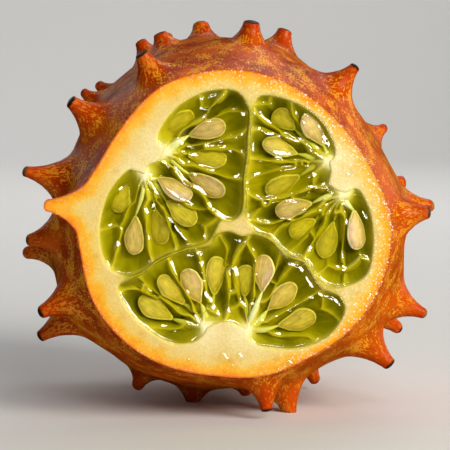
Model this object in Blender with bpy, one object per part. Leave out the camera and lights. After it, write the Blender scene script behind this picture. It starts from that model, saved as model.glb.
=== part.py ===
"""Half of a horned melon, cut across, resting on three of its horns.

The fruit's long axis runs along Y and the flat cut faces -Y. Inside the thick rind are
three lobes of jelly, parted by thin walls of flesh. The seeds hang in the jelly on
stalks that grow from a ridge on each lobe's outer wall. Sizes are in millimetres.
A place on the cut is (x, z) from the fruit's axis, and depth is measured behind the cut.
"""

import math
import random

import bmesh
import bpy
from mathutils import Vector
from mathutils.geometry import delaunay_2d_cdt

MM = 0.001
GAP = 0.3  # clear space between neighbouring pieces

# The fruit's axis where it meets the cut, in the part's own frame.
AXIS_X = -0.3
AXIS_Y = -38.5
AXIS_HEIGHT = 39.6

# The body is an ellipsoid with three soft bulges along it, one for each lobe. It is cut
# across in front of its widest section.
BODY_RADIUS = 36.5
BODY_HALF_LENGTH = 50.0
CUT_AHEAD = 27.0
LOBE_BULGE = 0.035
BULGE_ANGLE = -22.0
SKIN_SPACING = 5.0
RIM_POINTS = 60
ROW_HEIGHT = math.sqrt(3) / 2  # height of a row of triangles, for sides of 1
MAP_STEP = 0.1  # step in depth for laying the skin out flat
SMALL = 1e-6

# Horns: a round tip, a root that swells out of the skin, and a low wide mound round it.
HORN_TIP = 1.0
HORN_CAP = 0.85  # the share of a horn's rings that lie under its round tip
HORN_NARROWING = 1.5
HORN_RISE = 1.6
HORN_SIDES = 7
HORN_RINGS = (1.0, 0.7, 0.42, 0.2)
HORN_LEAN = 0.12
ROOT_BASE, ROOT_SHARE = 3.6, 0.2  # a root's radius grows with the horn's length
MOUND_WIDTH = 7.0
MOUND_SHARE = 0.24
RIM_CLEAR = 0.4  # the least skin between a root and the cut
ROOT_SHARE_OF_GAP = 0.52  # the widest root, as a share of the way to the next horn
HORN_ROOM = 1.6  # skin left free of other corners round a horn
RIM_HORN_ROOM = 1.0
POLE_ROOM = 0.5
UPRIGHT_DEPTH = 12.0  # horns nearer the cut than this stand more and more square to the axis

# The horns near the cut: angle round the axis, depth of the root, length.
FRONT_HORNS = (
    (118, 6, 6.0), (110, 26, 4.0), (116, 37, 5.0), (97, 37, 4.8), (84, 15, 5.4),
    (72, 31, 5.2), (52, 13, 7.4), (28, 34, 4.8), (4, 24, 7.4), (3, 6, 7.0),
    (334, 17, 8.6), (327, 34, 9.0), (318, 14, 9.0), (299, 40, 8.6), (281, 5, 6.8),
    (276, 27, 3.2), (242, 30, 5.2), (211, 19, 9.4), (204, 9, 8.4), (190, 28, 7.4),
    (184, 15, 7.0), (172, 0, 8.4), (165, 13, 10.2), (143, 11, 8.0), (139, 28, 5.0),
    (134, 42, 5.0), (44, 46, 6.4), (8, 43, 6.8),
)
# The three that it rests on.
FOOT_HORNS = ((288, 15, 9.2), (259, 28, 6.0), (270, 50, 10.8))
# Rings of horns on the back: depth, count, angle of the first.
BACK_RINGS = ((51, 6, 352), (61, 6, 15), (70, 4, 50))
BACK_HORN_LENGTH = 7.0
BACK_JITTER = 1.5
HORN_SPACING = 9.5
SEED_OF_CHANCE = 11

# Lobes of jelly: they keep their outline to TAPER_DEPTH, and from there to LOBE_DEPTH they
# close up and lean in towards the axis.
LOBE_DEPTH = 62.0
TAPER_DEPTH = 30.0
LOBE_LEAN = 0.5
LOBE_RINGS = (14.0, 30.0, 44.0, 54.0, 60.0)
LOBE_END = 2.0
OUTLINE_STEP = 2.6
JELLY_RIM = 0.6
JELLY_SPACING = 1.9
JELLY_MARGIN = 1.1
SAC_CREASE = 1.3
CREASE_WIDTH = 1.5

SEED_WIDTH = 4.0
SEED_THICKNESS = 2.0
SEED_SIDES = 8
SEED_STATIONS = (0.1, 0.3, 0.6, 0.85)
SEED_FULLEST = 0.85  # below 1 the widest place moves from the middle to the round end
SEED_ROUNDNESS = 0.7
STALK_RADIUS = 0.45
STALK_SIDES = 6
STALK_ROOT_DEPTH = 2.4
STALK_IN_RIDGE, STALK_IN_SEED = 1.0, 1.2
RIDGE_RADIUS = 2.2
RIDGE_SINK = 1.8  # how far the ridge's middle line lies behind the stalk roots
RIDGE_END_POINTS = 6
RIDGE_TOP = 0.4
RIDGE_DEPTH = 9.0
BED_FRONT = -3.0  # beds are cut from in front of the jelly

NEAR = 1.7  # depth of a seed that the cut laid bare
DEEP = 3.2  # depth of a seed still sunk in its jelly

# Each lobe: its outline, the two ends of its ridge, and its seeds. A seed is the ridge
# end it hangs from, its pointed end, its round end and its depth.
LOBES = {
    "left": {
        "outline": (
            (2.5, 23.2), (0.4, 27.0), (-5.0, 27.2), (-10.6, 24.6), (-14.4, 20.0),
            (-17.2, 13.2), (-21.0, 11.4), (-25.2, 6.6), (-26.8, -0.4), (-25.6, -6.8),
            (-22.0, -9.2), (-18.4, -8.3), (-15.6, -6.0), (-10.4, -3.9), (-6.0, -2.6),
            (-4.2, -0.2), (-3.0, 1.5), (-0.4, 1.7), (1.0, 3.4), (1.4, 6.4), (1.4, 9.6),
            (2.0, 14.2), (2.2, 18.5),
        ),
        "ridge": ((-13.8, 15.4), (-17.9, 10.4)),
        "seeds": (
            (0, (-14.2, 18.6), (-8.2, 22.9), DEEP),
            (0, (-9.1, 18.5), (-2.0, 20.6), NEAR),
            (0, (-9.4, 14.6), (-1.6, 13.4), DEEP),
            (0, (-9.1, 10.8), (-2.2, 6.8), NEAR),
            (1, (-15.4, 10.0), (-8.8, 6.2), NEAR),
            (1, (-13.6, 5.4), (-7.8, 1.0), DEEP),
            (1, (-16.0, 3.6), (-14.4, -3.4), DEEP),
            (1, (-19.8, 2.4), (-20.2, -5.2), NEAR),
            (1, (-21.4, 9.0), (-23.9, 3.2), DEEP),
        ),
    },
    "bottom": {
        "outline": (
            (-23.2, -12.2), (-19.4, -18.4), (-13.4, -22.6), (-8.0, -23.2), (-2.0, -22.8),
            (5.0, -24.0), (13.0, -24.2), (18.6, -21.8), (21.8, -17.4), (21.0, -14.2),
            (17.2, -13.0), (15.4, -11.0), (13.2, -7.8), (9.8, -6.5), (6.8, -3.3),
            (3.8, -2.0), (1.4, -1.8), (-1.2, -0.9), (-3.4, -1.6), (-5.0, -3.8),
            (-10.0, -5.2), (-15.0, -7.3), (-18.2, -9.6), (-20.6, -10.6),
        ),
        "ridge": ((-6.2, -20.0), (2.5, -20.8)),
        "seeds": (
            (0, (-12.5, -18.4), (-19.2, -14.2), DEEP),
            (0, (-10.2, -15.4), (-14.6, -10.6), DEEP),
            (0, (-6.8, -15.2), (-9.6, -8.6), NEAR),
            (0, (-4.1, -13.6), (-3.5, -6.0), DEEP),
            (1, (2.0, -14.0), (2.6, -7.6), DEEP),
            (1, (5.6, -13.0), (6.1, -6.6), NEAR),
            (1, (6.8, -16.8), (12.2, -11.6), NEAR),
            (1, (8.8, -20.0), (16.4, -18.0), NEAR),
        ),
    },
    "right": {
        "outline": (
            (3.8, 23.0), (5.2, 26.2), (11.0, 25.2), (16.6, 21.8), (19.6, 16.4),
            (22.0, 11.2), (25.0, 7.0), (27.2, 2.0), (27.6, -4.0), (26.4, -9.4),
            (22.8, -11.6), (19.4, -11.6), (16.8, -9.8), (14.4, -6.4), (10.6, -5.0),
            (7.6, -1.9), (4.6, -0.5), (2.6, 2.4), (2.6, 6.4), (2.4, 9.6), (3.2, 14.2),
            (3.4, 18.5),
        ),
        "ridge": ((18.0, 13.0), (22.0, 6.4)),
        "seeds": (
            (0, (17.4, 16.6), (13.9, 22.4), NEAR),
            (0, (12.2, 19.6), (8.0, 23.4), DEEP),
            (0, (12.7, 14.7), (5.8, 17.0), NEAR),
            (0, (13.2, 10.2), (6.4, 7.6), DEEP),
            (1, (15.6, 4.9), (8.4, 3.0), NEAR),
            (1, (16.4, 1.4), (11.2, -1.8), DEEP),
            (1, (20.2, 1.0), (17.8, -6.0), DEEP),
            (1, (24.1, 3.2), (24.7, -4.4), NEAR),
        ),
    },
}


def clear_scene():
    for item in list(bpy.data.objects):
        bpy.data.objects.remove(item, do_unlink=True)


def linear(channel):
    """Turn one sRGB channel, 0 to 1, into linear light."""
    if channel <= 0.04045:
        return channel / 12.92
    return ((channel + 0.055) / 1.055) ** 2.4


def make_material(name, red, green, blue, roughness, transmission=0.0):
    material = bpy.data.materials.new(name)
    material.use_nodes = True
    shader = material.node_tree.nodes["Principled BSDF"]
    colour = [linear(value / 255) for value in (red, green, blue)]
    shader.inputs["Base Color"].default_value = (*colour, 1.0)
    shader.inputs["Roughness"].default_value = roughness
    shader.inputs["Transmission Weight"].default_value = transmission
    return material


def to_part(point):
    """Move a point from the fruit's axis frame, in millimetres, to the part's own frame."""
    height = max(0.0, point.z + AXIS_HEIGHT)
    return Vector((point.x + AXIS_X, point.y + AXIS_Y, height)) * MM


def add_object(name, points, faces, material=None):
    mesh = bpy.data.meshes.new(name)
    mesh.from_pydata([to_part(point) for point in points], [], faces)
    body = bmesh.new()
    body.from_mesh(mesh)
    bmesh.ops.recalc_face_normals(body, faces=body.faces)
    body.to_mesh(mesh)
    body.free()
    if material:
        mesh.materials.append(material)
    item = bpy.data.objects.new(name, mesh)
    bpy.context.scene.collection.objects.link(item)
    return item


def combine(item, others, operation):
    """Join or cut one object with several, apply the result and remove the others."""
    group = bpy.data.collections.new("operands")
    bpy.context.scene.collection.children.link(group)
    for other in others:
        group.objects.link(other)
        bpy.context.scene.collection.objects.unlink(other)
    boolean = item.modifiers.new("combine", "BOOLEAN")
    boolean.operation = operation
    boolean.solver = "EXACT"
    boolean.operand_type = "COLLECTION"
    boolean.collection = group
    view = bpy.context.evaluated_depsgraph_get()
    result = bpy.data.meshes.new_from_object(item.evaluated_get(view))
    item.modifiers.clear()
    item.data = result
    for other in others:
        bpy.data.objects.remove(other, do_unlink=True)
    bpy.data.collections.remove(group)


def shade(item, angle=35):
    item.data.shade_smooth()
    item.data.set_sharp_from_angle(angle=math.radians(angle))


# ---------------------------------------------------------------- the body and its horns


def body_radius(depth):
    along = (depth - CUT_AHEAD) / BODY_HALF_LENGTH
    return BODY_RADIUS * math.sqrt(max(0.0, 1 - along * along))


def body_point(angle, depth):
    bulge = LOBE_BULGE * math.cos(3 * (angle - math.radians(BULGE_ANGLE)))
    radius = body_radius(depth) * (1 + bulge)
    return Vector((radius * math.cos(angle), depth, radius * math.sin(angle)))


def outward(angle, depth):
    """The way that skin and horns grow: square to the skin, but square to the axis at the cut."""
    upright = min(1.0, depth / UPRIGHT_DEPTH)
    slope = (depth - CUT_AHEAD) / BODY_HALF_LENGTH**2
    across = body_radius(depth) / BODY_RADIUS**2
    way = Vector((across * math.cos(angle), slope * upright, across * math.sin(angle)))
    return way.normalized()


class Horn:
    """One horn: where it stands, the way it leans, its length and the width of its root."""

    def __init__(self, angle, depth, length, chance):
        self.angle = math.radians(angle)
        self.depth = depth
        self.foot = body_point(self.angle, depth)
        self.round_axis = Vector((-math.sin(self.angle), 0, math.cos(self.angle)))
        self.way = outward(self.angle, depth)
        self.along = self.way.cross(self.round_axis)
        if self.along.y < 0:
            self.along.negate()
        lean = self.round_axis * chance.uniform(-HORN_LEAN, HORN_LEAN)
        if depth > UPRIGHT_DEPTH:
            lean += self.along * chance.uniform(-HORN_LEAN, HORN_LEAN)
        self.way = (self.way + lean).normalized()
        self.mound = MOUND_SHARE * length
        self.length = length - self.mound
        self.root = ROOT_BASE + ROOT_SHARE * length
        if depth > 0:
            self.root = min(self.root, depth - RIM_CLEAR)

    def profile(self, share):
        """Radius and height of the horn, from its root (share 0) to its tip (share 1)."""
        if share > HORN_CAP:
            turn = (share - HORN_CAP) / (1 - HORN_CAP) * math.pi / 2
            return HORN_TIP * math.cos(turn), self.length - HORN_TIP * (1 - math.sin(turn))
        rise = share / HORN_CAP
        radius = HORN_TIP + (self.root - HORN_TIP) * (1 - rise) ** HORN_NARROWING
        return radius, (self.length - HORN_TIP) * rise**HORN_RISE

    def lift(self, skin):
        """How far a point of the bare body moves to lie on this horn."""
        offset = skin - self.foot
        across = self.round_axis * offset.dot(self.round_axis)
        across += self.along * offset.dot(self.along)
        distance = across.length
        if distance >= self.root:
            return Vector()
        radius, height = self.profile(1 - distance / self.root)
        if distance < SMALL:
            return self.way * height
        return self.way * height + across * (radius / distance - 1)


def make_horns():
    chance = random.Random(SEED_OF_CHANCE)
    horns = [Horn(*row, chance) for row in FRONT_HORNS + FOOT_HORNS]
    for depth, count, first in BACK_RINGS:
        for index in range(count):
            angle = first + 360 * index / count + chance.uniform(-4, 4)
            place = depth + chance.uniform(-BACK_JITTER, BACK_JITTER)
            horn = Horn(angle, place, BACK_HORN_LENGTH + chance.uniform(-1, 1), chance)
            if all((horn.foot - other.foot).length > HORN_SPACING for other in horns):
                horns.append(horn)
    for horn in horns:
        room = min((horn.foot - other.foot).length for other in horns if other is not horn)
        horn.root = min(horn.root, room * ROOT_SHARE_OF_GAP)
    return horns


def skin_point(angle, depth, horns):
    bare = body_point(angle, depth)
    swell = 0.0
    move = Vector()
    for horn in horns:
        distance = (bare - horn.foot).length
        if distance > 3 * MOUND_WIDTH:
            continue
        swell += horn.mound * math.exp(-((distance / MOUND_WIDTH) ** 2))
        move += horn.lift(bare)
    return bare + outward(angle, depth) * swell + move


def pole_distances():
    """Distance of each depth from the back end on a flat map that keeps angles true."""
    back = CUT_AHEAD + BODY_HALF_LENGTH
    table = [(0.0, 1.0)]
    depth = 0.0
    size = 1.0
    while depth < back - MAP_STEP:
        ahead = depth + MAP_STEP
        run = math.hypot(MAP_STEP, body_radius(ahead) - body_radius(depth))
        size *= math.exp(-run * 2 / (body_radius(ahead) + body_radius(depth)))
        depth = ahead
        table.append((depth, size))
    table.append((back, 0.0))
    return table


def map_point(angle, depth, table):
    index = min(int(depth / MAP_STEP), len(table) - 2)
    (near, size), (far, next_size) = table[index], table[index + 1]
    share = (depth - near) / (far - near)
    distance = size + (next_size - size) * share
    return Vector((distance * math.cos(angle), distance * math.sin(angle)))


def horn_places(horn):
    """Places (angle, depth) on rings round one horn, dropping those in front of the cut."""
    radius = body_radius(horn.depth)
    places = [(horn.angle, horn.depth)]
    for number, share in enumerate(HORN_RINGS):
        sides = HORN_SIDES if horn.depth > 0 else 2 * HORN_SIDES - 2
        stagger = 0.5 * (number % 2) if horn.depth > 0 else 0.0
        for index in range(sides):
            turn = 2 * math.pi * (index + stagger) / sides
            across = horn.root * share * math.cos(turn)
            behind = horn.root * share * math.sin(turn)
            depth = horn.depth + behind * abs(horn.along.y)
            if depth > -SMALL:
                places.append((horn.angle + across / radius, max(0.0, depth)))
    return places


def skin_places(horns):
    """Places (angle, depth) over the whole skin. Those on the rim are returned first."""
    places = []
    for horn in horns:
        places += horn_places(horn)
    rim = [place for place in places if place[1] == 0.0]
    rest = [place for place in places if place[1] > 0.0]

    def is_free(angle, depth, room):
        bare = body_point(angle, depth)
        return all((bare - horn.foot).length > horn.root + room for horn in horns)

    cut_horns = [horn for horn in horns if horn.depth == 0]
    for index in range(RIM_POINTS):
        angle = 2 * math.pi * index / RIM_POINTS
        bare = body_point(angle, 0)
        if all((bare - horn.foot).length > horn.root + RIM_HORN_ROOM for horn in cut_horns):
            rim.append((angle, 0.0))
    rim.sort(key=lambda place: place[0] % (2 * math.pi))

    back = CUT_AHEAD + BODY_HALF_LENGTH
    depth = SKIN_SPACING * ROW_HEIGHT
    row = 0
    while depth < back - POLE_ROOM:
        count = max(5, round(2 * math.pi * body_radius(depth) / SKIN_SPACING))
        for index in range(count):
            angle = 2 * math.pi * (index + 0.5 * (row % 2)) / count
            if is_free(angle, depth, HORN_ROOM):
                rest.append((angle, depth))
        slope = (body_radius(depth + MAP_STEP) - body_radius(depth)) / MAP_STEP
        depth += SKIN_SPACING * ROW_HEIGHT / math.hypot(1, slope)
        row += 1
    rest.append((0.0, back))
    return rim, rest


# ---------------------------------------------------------------- outlines on the cut


def smooth_loop(points, step=OUTLINE_STEP):
    """A closed smooth curve through the points, as corners about one step apart."""
    corners = []
    count = len(points)
    for index in range(count):
        a, b, c, d = (Vector(points[(index + shift) % count]) for shift in (-1, 0, 1, 2))
        pieces = max(1, round((c - b).length / step))
        for piece in range(pieces):
            t = piece / pieces
            curve = 2 * b + (c - a) * t + (2 * a - 5 * b + 4 * c - d) * t**2
            corners.append((curve + (3 * b - a - 3 * c + d) * t**3) / 2)
    return corners


def inset(loop, distance):
    """Move a loop inwards, so that each of its edges moves by the distance."""
    turn = sum(a.x * b.y - a.y * b.x for a, b in zip(loop, loop[1:] + loop[:1]))
    side = 1 if turn > 0 else -1
    moved = []
    for index, corner in enumerate(loop):
        after = (loop[(index + 1) % len(loop)] - corner).normalized()
        run = ((corner - loop[index - 1]).normalized() + after).normalized()
        move = side * distance / run.dot(after)
        moved.append(corner + Vector((-run.y, run.x)) * move)
    return moved


def is_inside(point, loop):
    inside = False
    for a, b in zip(loop, loop[1:] + loop[:1]):
        if (a.y > point.y) != (b.y > point.y):
            if point.x < a.x + (b.x - a.x) * (point.y - a.y) / (b.y - a.y):
                inside = not inside
    return inside


def distance_to_segment(point, start, end):
    run = end - start
    share = min(1.0, max(0.0, (point - start).dot(run) / run.length_squared))
    return (point - start - run * share).length


def lobe_loops(loop, room=0.0):
    """The lobe's outline at each depth behind the cut, closing up towards the back."""
    middle = sum(loop, Vector((0, 0))) / len(loop)
    loops = []
    for depth in LOBE_RINGS:
        past = max(0.0, depth - TAPER_DEPTH) / (LOBE_DEPTH - TAPER_DEPTH)
        size = math.sqrt(1 - past * past)
        drawn_in = middle * (1 - LOBE_LEAN * (1 - size))
        ring = [drawn_in + (corner - middle) * size for corner in loop]
        loops.append([Vector((corner.x, depth - room, corner.y)) for corner in ring])
    return loops


def add_walls(points, faces, front, loops):
    """Bridge a front ring of point numbers to each loop in turn and close the last one."""
    count = len(front)
    for loop in loops:
        ring = range(len(points), len(points) + count)
        points += loop
        for index in range(count):
            after = (index + 1) % count
            faces.append((front[index], front[after], ring[after]))
            faces.append((front[index], ring[after], ring[index]))
        front = ring
    tip = len(points)
    middle = sum((points[index] for index in front), Vector()) / count
    points.append(middle + Vector((0, LOBE_END, 0)))
    for index in range(count):
        faces.append((front[index], front[(index + 1) % count], tip))


# ---------------------------------------------------------------- rind


def make_rind(horns, material):
    rim, rest = skin_places(horns)
    table = pole_distances()
    flat = [map_point(*place, table) for place in rim + rest]
    edges = [(index, (index + 1) % len(rim)) for index in range(len(rim))]
    _, _, triangles, sources, _, _ = delaunay_2d_cdt(flat, edges, [], 1, 1e-9)
    places = [(rim + rest)[source[0]] for source in sources]
    points = [skin_point(*place, horns) for place in places]
    faces = [tuple(triangle) for triangle in triangles]
    number = {source[0]: index for index, source in enumerate(sources)}
    outer = [number[index] for index in range(len(rim))]

    loops = [smooth_loop(lobe["outline"]) for lobe in LOBES.values()]
    rings = []
    for loop in loops:
        ring = list(range(len(points), len(points) + len(loop)))
        points += [Vector((corner.x, 0, corner.y)) for corner in loop]
        rings.append(ring)
        add_walls(points, faces, ring, lobe_loops(loop))
    faces += cut_faces(points, [outer] + rings, loops)
    rind = add_object("rind", points, faces, material)
    shade(rind)
    return rind


def cut_faces(points, rings, holes):
    """Flat triangles between the rim of the skin and the mouths of the lobes."""
    numbers = [index for ring in rings for index in ring]
    flat = [Vector((points[index].x, points[index].z)) for index in numbers]
    edges = []
    start = 0
    for ring in rings:
        edges += [(start + i, start + (i + 1) % len(ring)) for i in range(len(ring))]
        start += len(ring)
    corners, _, triangles, sources, _, _ = delaunay_2d_cdt(flat, edges, [], 1, 1e-9)
    faces = []
    for triangle in triangles:
        middle = sum((corners[index] for index in triangle), Vector((0, 0))) / 3
        if not any(is_inside(middle, hole) for hole in holes):
            faces.append(tuple(numbers[sources[index][0]] for index in triangle))
    return faces


# ---------------------------------------------------------------- jelly and seeds


def sac_depth(point, seeds):
    """Depth of the jelly's front: each seed's sac bulges, with a crease between two sacs."""
    reach = sorted(distance_to_segment(point, Vector(start), Vector(end))
                   for _, start, end, _ in seeds)
    share = min(1.0, (reach[1] - reach[0]) / 2 / CREASE_WIDTH)
    bulge = math.sqrt(1 - (1 - share) ** 2)
    return JELLY_RIM + SAC_CREASE * (1 - bulge)


def make_jelly(side, lobe, material):
    loop = inset(smooth_loop(lobe["outline"]), GAP)
    inner = inset(loop, JELLY_MARGIN)
    flat = list(loop)
    width = min(corner.x for corner in loop), max(corner.x for corner in loop)
    height = min(corner.y for corner in loop), max(corner.y for corner in loop)
    row_step = JELLY_SPACING * ROW_HEIGHT
    for row in range(int((height[1] - height[0]) / row_step) + 1):
        for column in range(int((width[1] - width[0]) / JELLY_SPACING) + 1):
            x = width[0] + (column + 0.5 * (row % 2)) * JELLY_SPACING
            place = Vector((x, height[0] + row * row_step))
            if is_inside(place, inner):
                flat.append(place)
    edges = [(index, (index + 1) % len(loop)) for index in range(len(loop))]
    _, _, triangles, sources, _, _ = delaunay_2d_cdt(flat, edges, [], 1, 1e-9)
    points = []
    for index, place in enumerate(flat):
        depth = JELLY_RIM if index < len(loop) else sac_depth(place, lobe["seeds"])
        points.append(Vector((place.x, depth, place.y)))
    faces = [tuple(sources[index][0] for index in triangle) for triangle in triangles]
    add_walls(points, faces, list(range(len(loop))), lobe_loops(loop, GAP))
    return add_object("jelly_" + side, points, faces, material)


def seed_solid(name, start, end, depth, room, front=None):
    """A flat drop, pointed at its start. With a front, its near half is drawn out to there."""
    start = Vector((start[0], depth, start[1]))
    end = Vector((end[0], depth, end[1]))
    run = (end - start).normalized()
    across = run.cross(Vector((0, 1, 0)))
    length = (end - start).length + 2 * room
    stations = SEED_STATIONS if front is None else (0.0, *SEED_STATIONS, 1.0)
    points = [start - run * room]
    for share in stations:
        size = max(0.0, math.sin(math.pi * share**SEED_FULLEST)) ** SEED_ROUNDNESS
        for index in range(SEED_SIDES):
            turn = 2 * math.pi * (index + 0.5) / SEED_SIDES
            wide = across * math.cos(turn) * (SEED_WIDTH / 2 * size + room)
            thick = math.sin(turn) * (SEED_THICKNESS / 2 * size + room)
            points.append(points[0] + run * length * share + wide + Vector((0, thick, 0)))
    points.append(points[0] + run * length)
    if front is not None:
        points[0] -= run * room
        points[-1] += run * room
        for point in points:
            if point.y <= depth + SMALL:
                point.y = front
    return add_object(name, points, drop_faces(SEED_SIDES, len(stations)))


def drop_faces(sides, stations):
    faces = []
    last = 1 + sides * stations
    for index in range(sides):
        after = (index + 1) % sides
        faces.append((0, 1 + index, 1 + after))
        for station in range(stations - 1):
            base = 1 + station * sides
            faces.append((base + index, base + sides + index, base + sides + after, base + after))
        base = 1 + (stations - 1) * sides
        faces.append((base + index, last, base + after))
    return faces


def stalk_solid(name, start, end, radius, front=None):
    """A thin round stalk between two points, or its slot, open to the front."""
    run = (end - start).normalized()
    across = run.cross(Vector((0, 1, 0))).normalized()
    upright = run.cross(across).normalized()
    points = []
    for middle in (start, end):
        for index in range(STALK_SIDES):
            turn = 2 * math.pi * (index + 0.5) / STALK_SIDES
            ring = across * math.cos(turn) + upright * math.sin(turn)
            point = middle + ring * radius
            if front is not None and point.y < middle.y:
                point.y = front
            points.append(point)
    faces = [tuple(range(STALK_SIDES)), tuple(range(STALK_SIDES, 2 * STALK_SIDES))]
    for index in range(STALK_SIDES):
        after = (index + 1) % STALK_SIDES
        faces.append((index, after, after + STALK_SIDES, index + STALK_SIDES))
    return add_object(name, points, faces)


def ridge_solid(name, lobe, room, front, back):
    """A rounded bar along the ridge, set back so that its inner side meets both stalk roots."""
    first, last = (Vector(end) for end in lobe["ridge"])
    run = (last - first).normalized()
    out = Vector((-run.y, run.x))
    middle = sum((Vector(corner) for corner in lobe["outline"]), Vector((0, 0)))
    if out.dot(first - middle / len(lobe["outline"])) < 0:
        out.negate()
    radius = RIDGE_RADIUS + room
    loop = []
    for centre, turn_from in ((first, math.pi / 2), (last, -math.pi / 2)):
        for index in range(RIDGE_END_POINTS):
            turn = turn_from + math.pi * index / (RIDGE_END_POINTS - 1)
            way = run * math.cos(turn) + out * math.sin(turn)
            loop.append(centre + out * RIDGE_SINK + way * radius)
    count = len(loop)
    points = [Vector((p.x, depth, p.y)) for depth in (front, back) for p in loop]
    faces = [tuple(range(count)), tuple(range(count, 2 * count))]
    for index in range(count):
        after = (index + 1) % count
        faces.append((index, after, after + count, index + count))
    return add_object(name, points, faces)


def stalk_ends(lobe, seed):
    """A stalk runs from inside the ridge to inside the seed's pointed end."""
    root, start, end, depth = seed
    root = Vector(lobe["ridge"][root])
    start = Vector(start)
    ahead = (Vector(end) - start).normalized()
    back = (root - start).normalized()
    first = root + back * STALK_IN_RIDGE
    last = start + ahead * STALK_IN_SEED
    return Vector((first.x, STALK_ROOT_DEPTH, first.y)), Vector((last.x, depth, last.y))


def make_seeds(side, lobe, material):
    """Seeds, stalks and the ridge that they grow from, joined in one solid."""
    bunch = ridge_solid("seeds_" + side, lobe, 0.0, RIDGE_TOP, RIDGE_DEPTH)
    bunch.data.materials.append(material)
    loop = inset(smooth_loop(lobe["outline"]), GAP)
    room = [Vector((corner.x, 0, corner.y)) for corner in loop]
    faces = []
    add_walls(room, faces, list(range(len(loop))), lobe_loops(loop, GAP))
    faces.append(tuple(range(len(loop))))
    combine(bunch, [add_object("room", room, faces)], "INTERSECT")
    grown = []
    for seed in lobe["seeds"]:
        grown.append(seed_solid("seed", seed[1], seed[2], seed[3], 0.0))
        grown.append(stalk_solid("stalk", *stalk_ends(lobe, seed), STALK_RADIUS))
    combine(bunch, grown, "UNION")
    shade(bunch, 50)
    return bunch


def cut_beds(jelly, lobe):
    """Cut a bed in the jelly for the ridge and for every seed and stalk, open to the front."""
    beds = [ridge_solid("bed", lobe, GAP, BED_FRONT, RIDGE_DEPTH + GAP)]
    for seed in lobe["seeds"]:
        beds.append(seed_solid("bed", seed[1], seed[2], seed[3], GAP, BED_FRONT))
        stalk = stalk_ends(lobe, seed)
        beds.append(stalk_solid("bed", *stalk, STALK_RADIUS + GAP, BED_FRONT))
    combine(jelly, beds, "DIFFERENCE")
    shade(jelly, 50)


def main():
    clear_scene()
    rind_skin = make_material("rind", 205, 98, 26, 0.45)
    jelly_clear = make_material("jelly", 122, 124, 24, 0.12, 0.6)
    seed_cream = make_material("seed", 221, 198, 146, 0.35)
    horns = make_horns()
    make_rind(horns, rind_skin)
    for side, lobe in LOBES.items():
        jelly = make_jelly(side, lobe, jelly_clear)
        cut_beds(jelly, lobe)
        make_seeds(side, lobe, seed_cream)


main()
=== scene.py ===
"""Half of a horned melon, cut across and standing on three of its horns.

It is put together from the outside in: skin, flesh, jelly, seeds, juice. The fruit's long
axis runs along Y, the cut faces -Y, and depth is measured behind the cut. Sizes are in
millimetres on the fruit's own axis until place() sets a point into the frame.
"""

import math
import random
from functools import partial

import bpy
import numpy as np
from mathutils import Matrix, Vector, noise
from mathutils.geometry import delaunay_2d_cdt


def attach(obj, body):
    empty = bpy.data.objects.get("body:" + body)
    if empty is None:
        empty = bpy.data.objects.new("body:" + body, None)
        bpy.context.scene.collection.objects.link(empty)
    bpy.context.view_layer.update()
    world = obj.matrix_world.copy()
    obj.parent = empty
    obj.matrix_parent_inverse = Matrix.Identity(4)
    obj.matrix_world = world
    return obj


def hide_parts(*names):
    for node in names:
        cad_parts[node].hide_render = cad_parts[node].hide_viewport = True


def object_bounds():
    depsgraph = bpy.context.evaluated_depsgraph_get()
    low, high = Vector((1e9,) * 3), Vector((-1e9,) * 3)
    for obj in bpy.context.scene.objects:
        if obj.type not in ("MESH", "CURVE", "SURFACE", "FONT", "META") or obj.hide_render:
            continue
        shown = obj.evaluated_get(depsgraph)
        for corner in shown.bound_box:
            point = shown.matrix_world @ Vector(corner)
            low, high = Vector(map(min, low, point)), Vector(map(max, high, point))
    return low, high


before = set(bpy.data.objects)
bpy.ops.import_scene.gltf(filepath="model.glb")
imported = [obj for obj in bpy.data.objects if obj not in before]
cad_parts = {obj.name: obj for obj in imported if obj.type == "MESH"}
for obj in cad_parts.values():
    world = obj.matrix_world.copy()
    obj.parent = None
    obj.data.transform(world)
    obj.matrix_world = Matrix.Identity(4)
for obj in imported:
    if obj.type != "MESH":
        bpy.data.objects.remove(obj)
solid_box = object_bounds()


# ------------------------------------------------------------------------------ skin
# The skin is a thin waxy peel over the whole fruit, drawn out into blunt horns. It grew as
# one piece with the flesh under it. Orange, flecked with yellow, redder on the horns, and
# corky at the tips where they rubbed and dried.

AXIS_X = -0.3
AXIS_HEIGHT = 39.6
BODY_RADIUS = 36.5
BODY_HALF_LENGTH = 50.0
CUT_AHEAD = 27.0
LOBE_BULGE = 0.035
BULGE_ANGLE = math.radians(-22.0)
SWELL_SIZE, SWELL_HEIGHT, SWELL_START = 9.0, 0.35, 3.0

HORN_TIP = 1.0
HORN_CAP = 0.85
HORN_TAPER, HORN_STEEPNESS = 1.5, 1.6
TIP_RANGE, TIP_HEIGHTS = (0.95, 1.4), (0.35, 1.0)
HORN_LEAN = 0.12
ROOT_BASE, ROOT_SHARE = 3.6, 0.2
ROOT_ROOM = 0.52
RIM_CLEAR = 0.4
MOUND_WIDTH = 7.0
MOUND_SHARE = 0.24
UPRIGHT_DEPTH = 12.0
# Horns that point up, above this sine of their angle, are worn: wider, flatter, less corky.
WORN_ABOVE = 0.85
WORN_TIP, WORN_HEIGHT, WORN_CORK = 1.3, 0.6, 0.5

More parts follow.
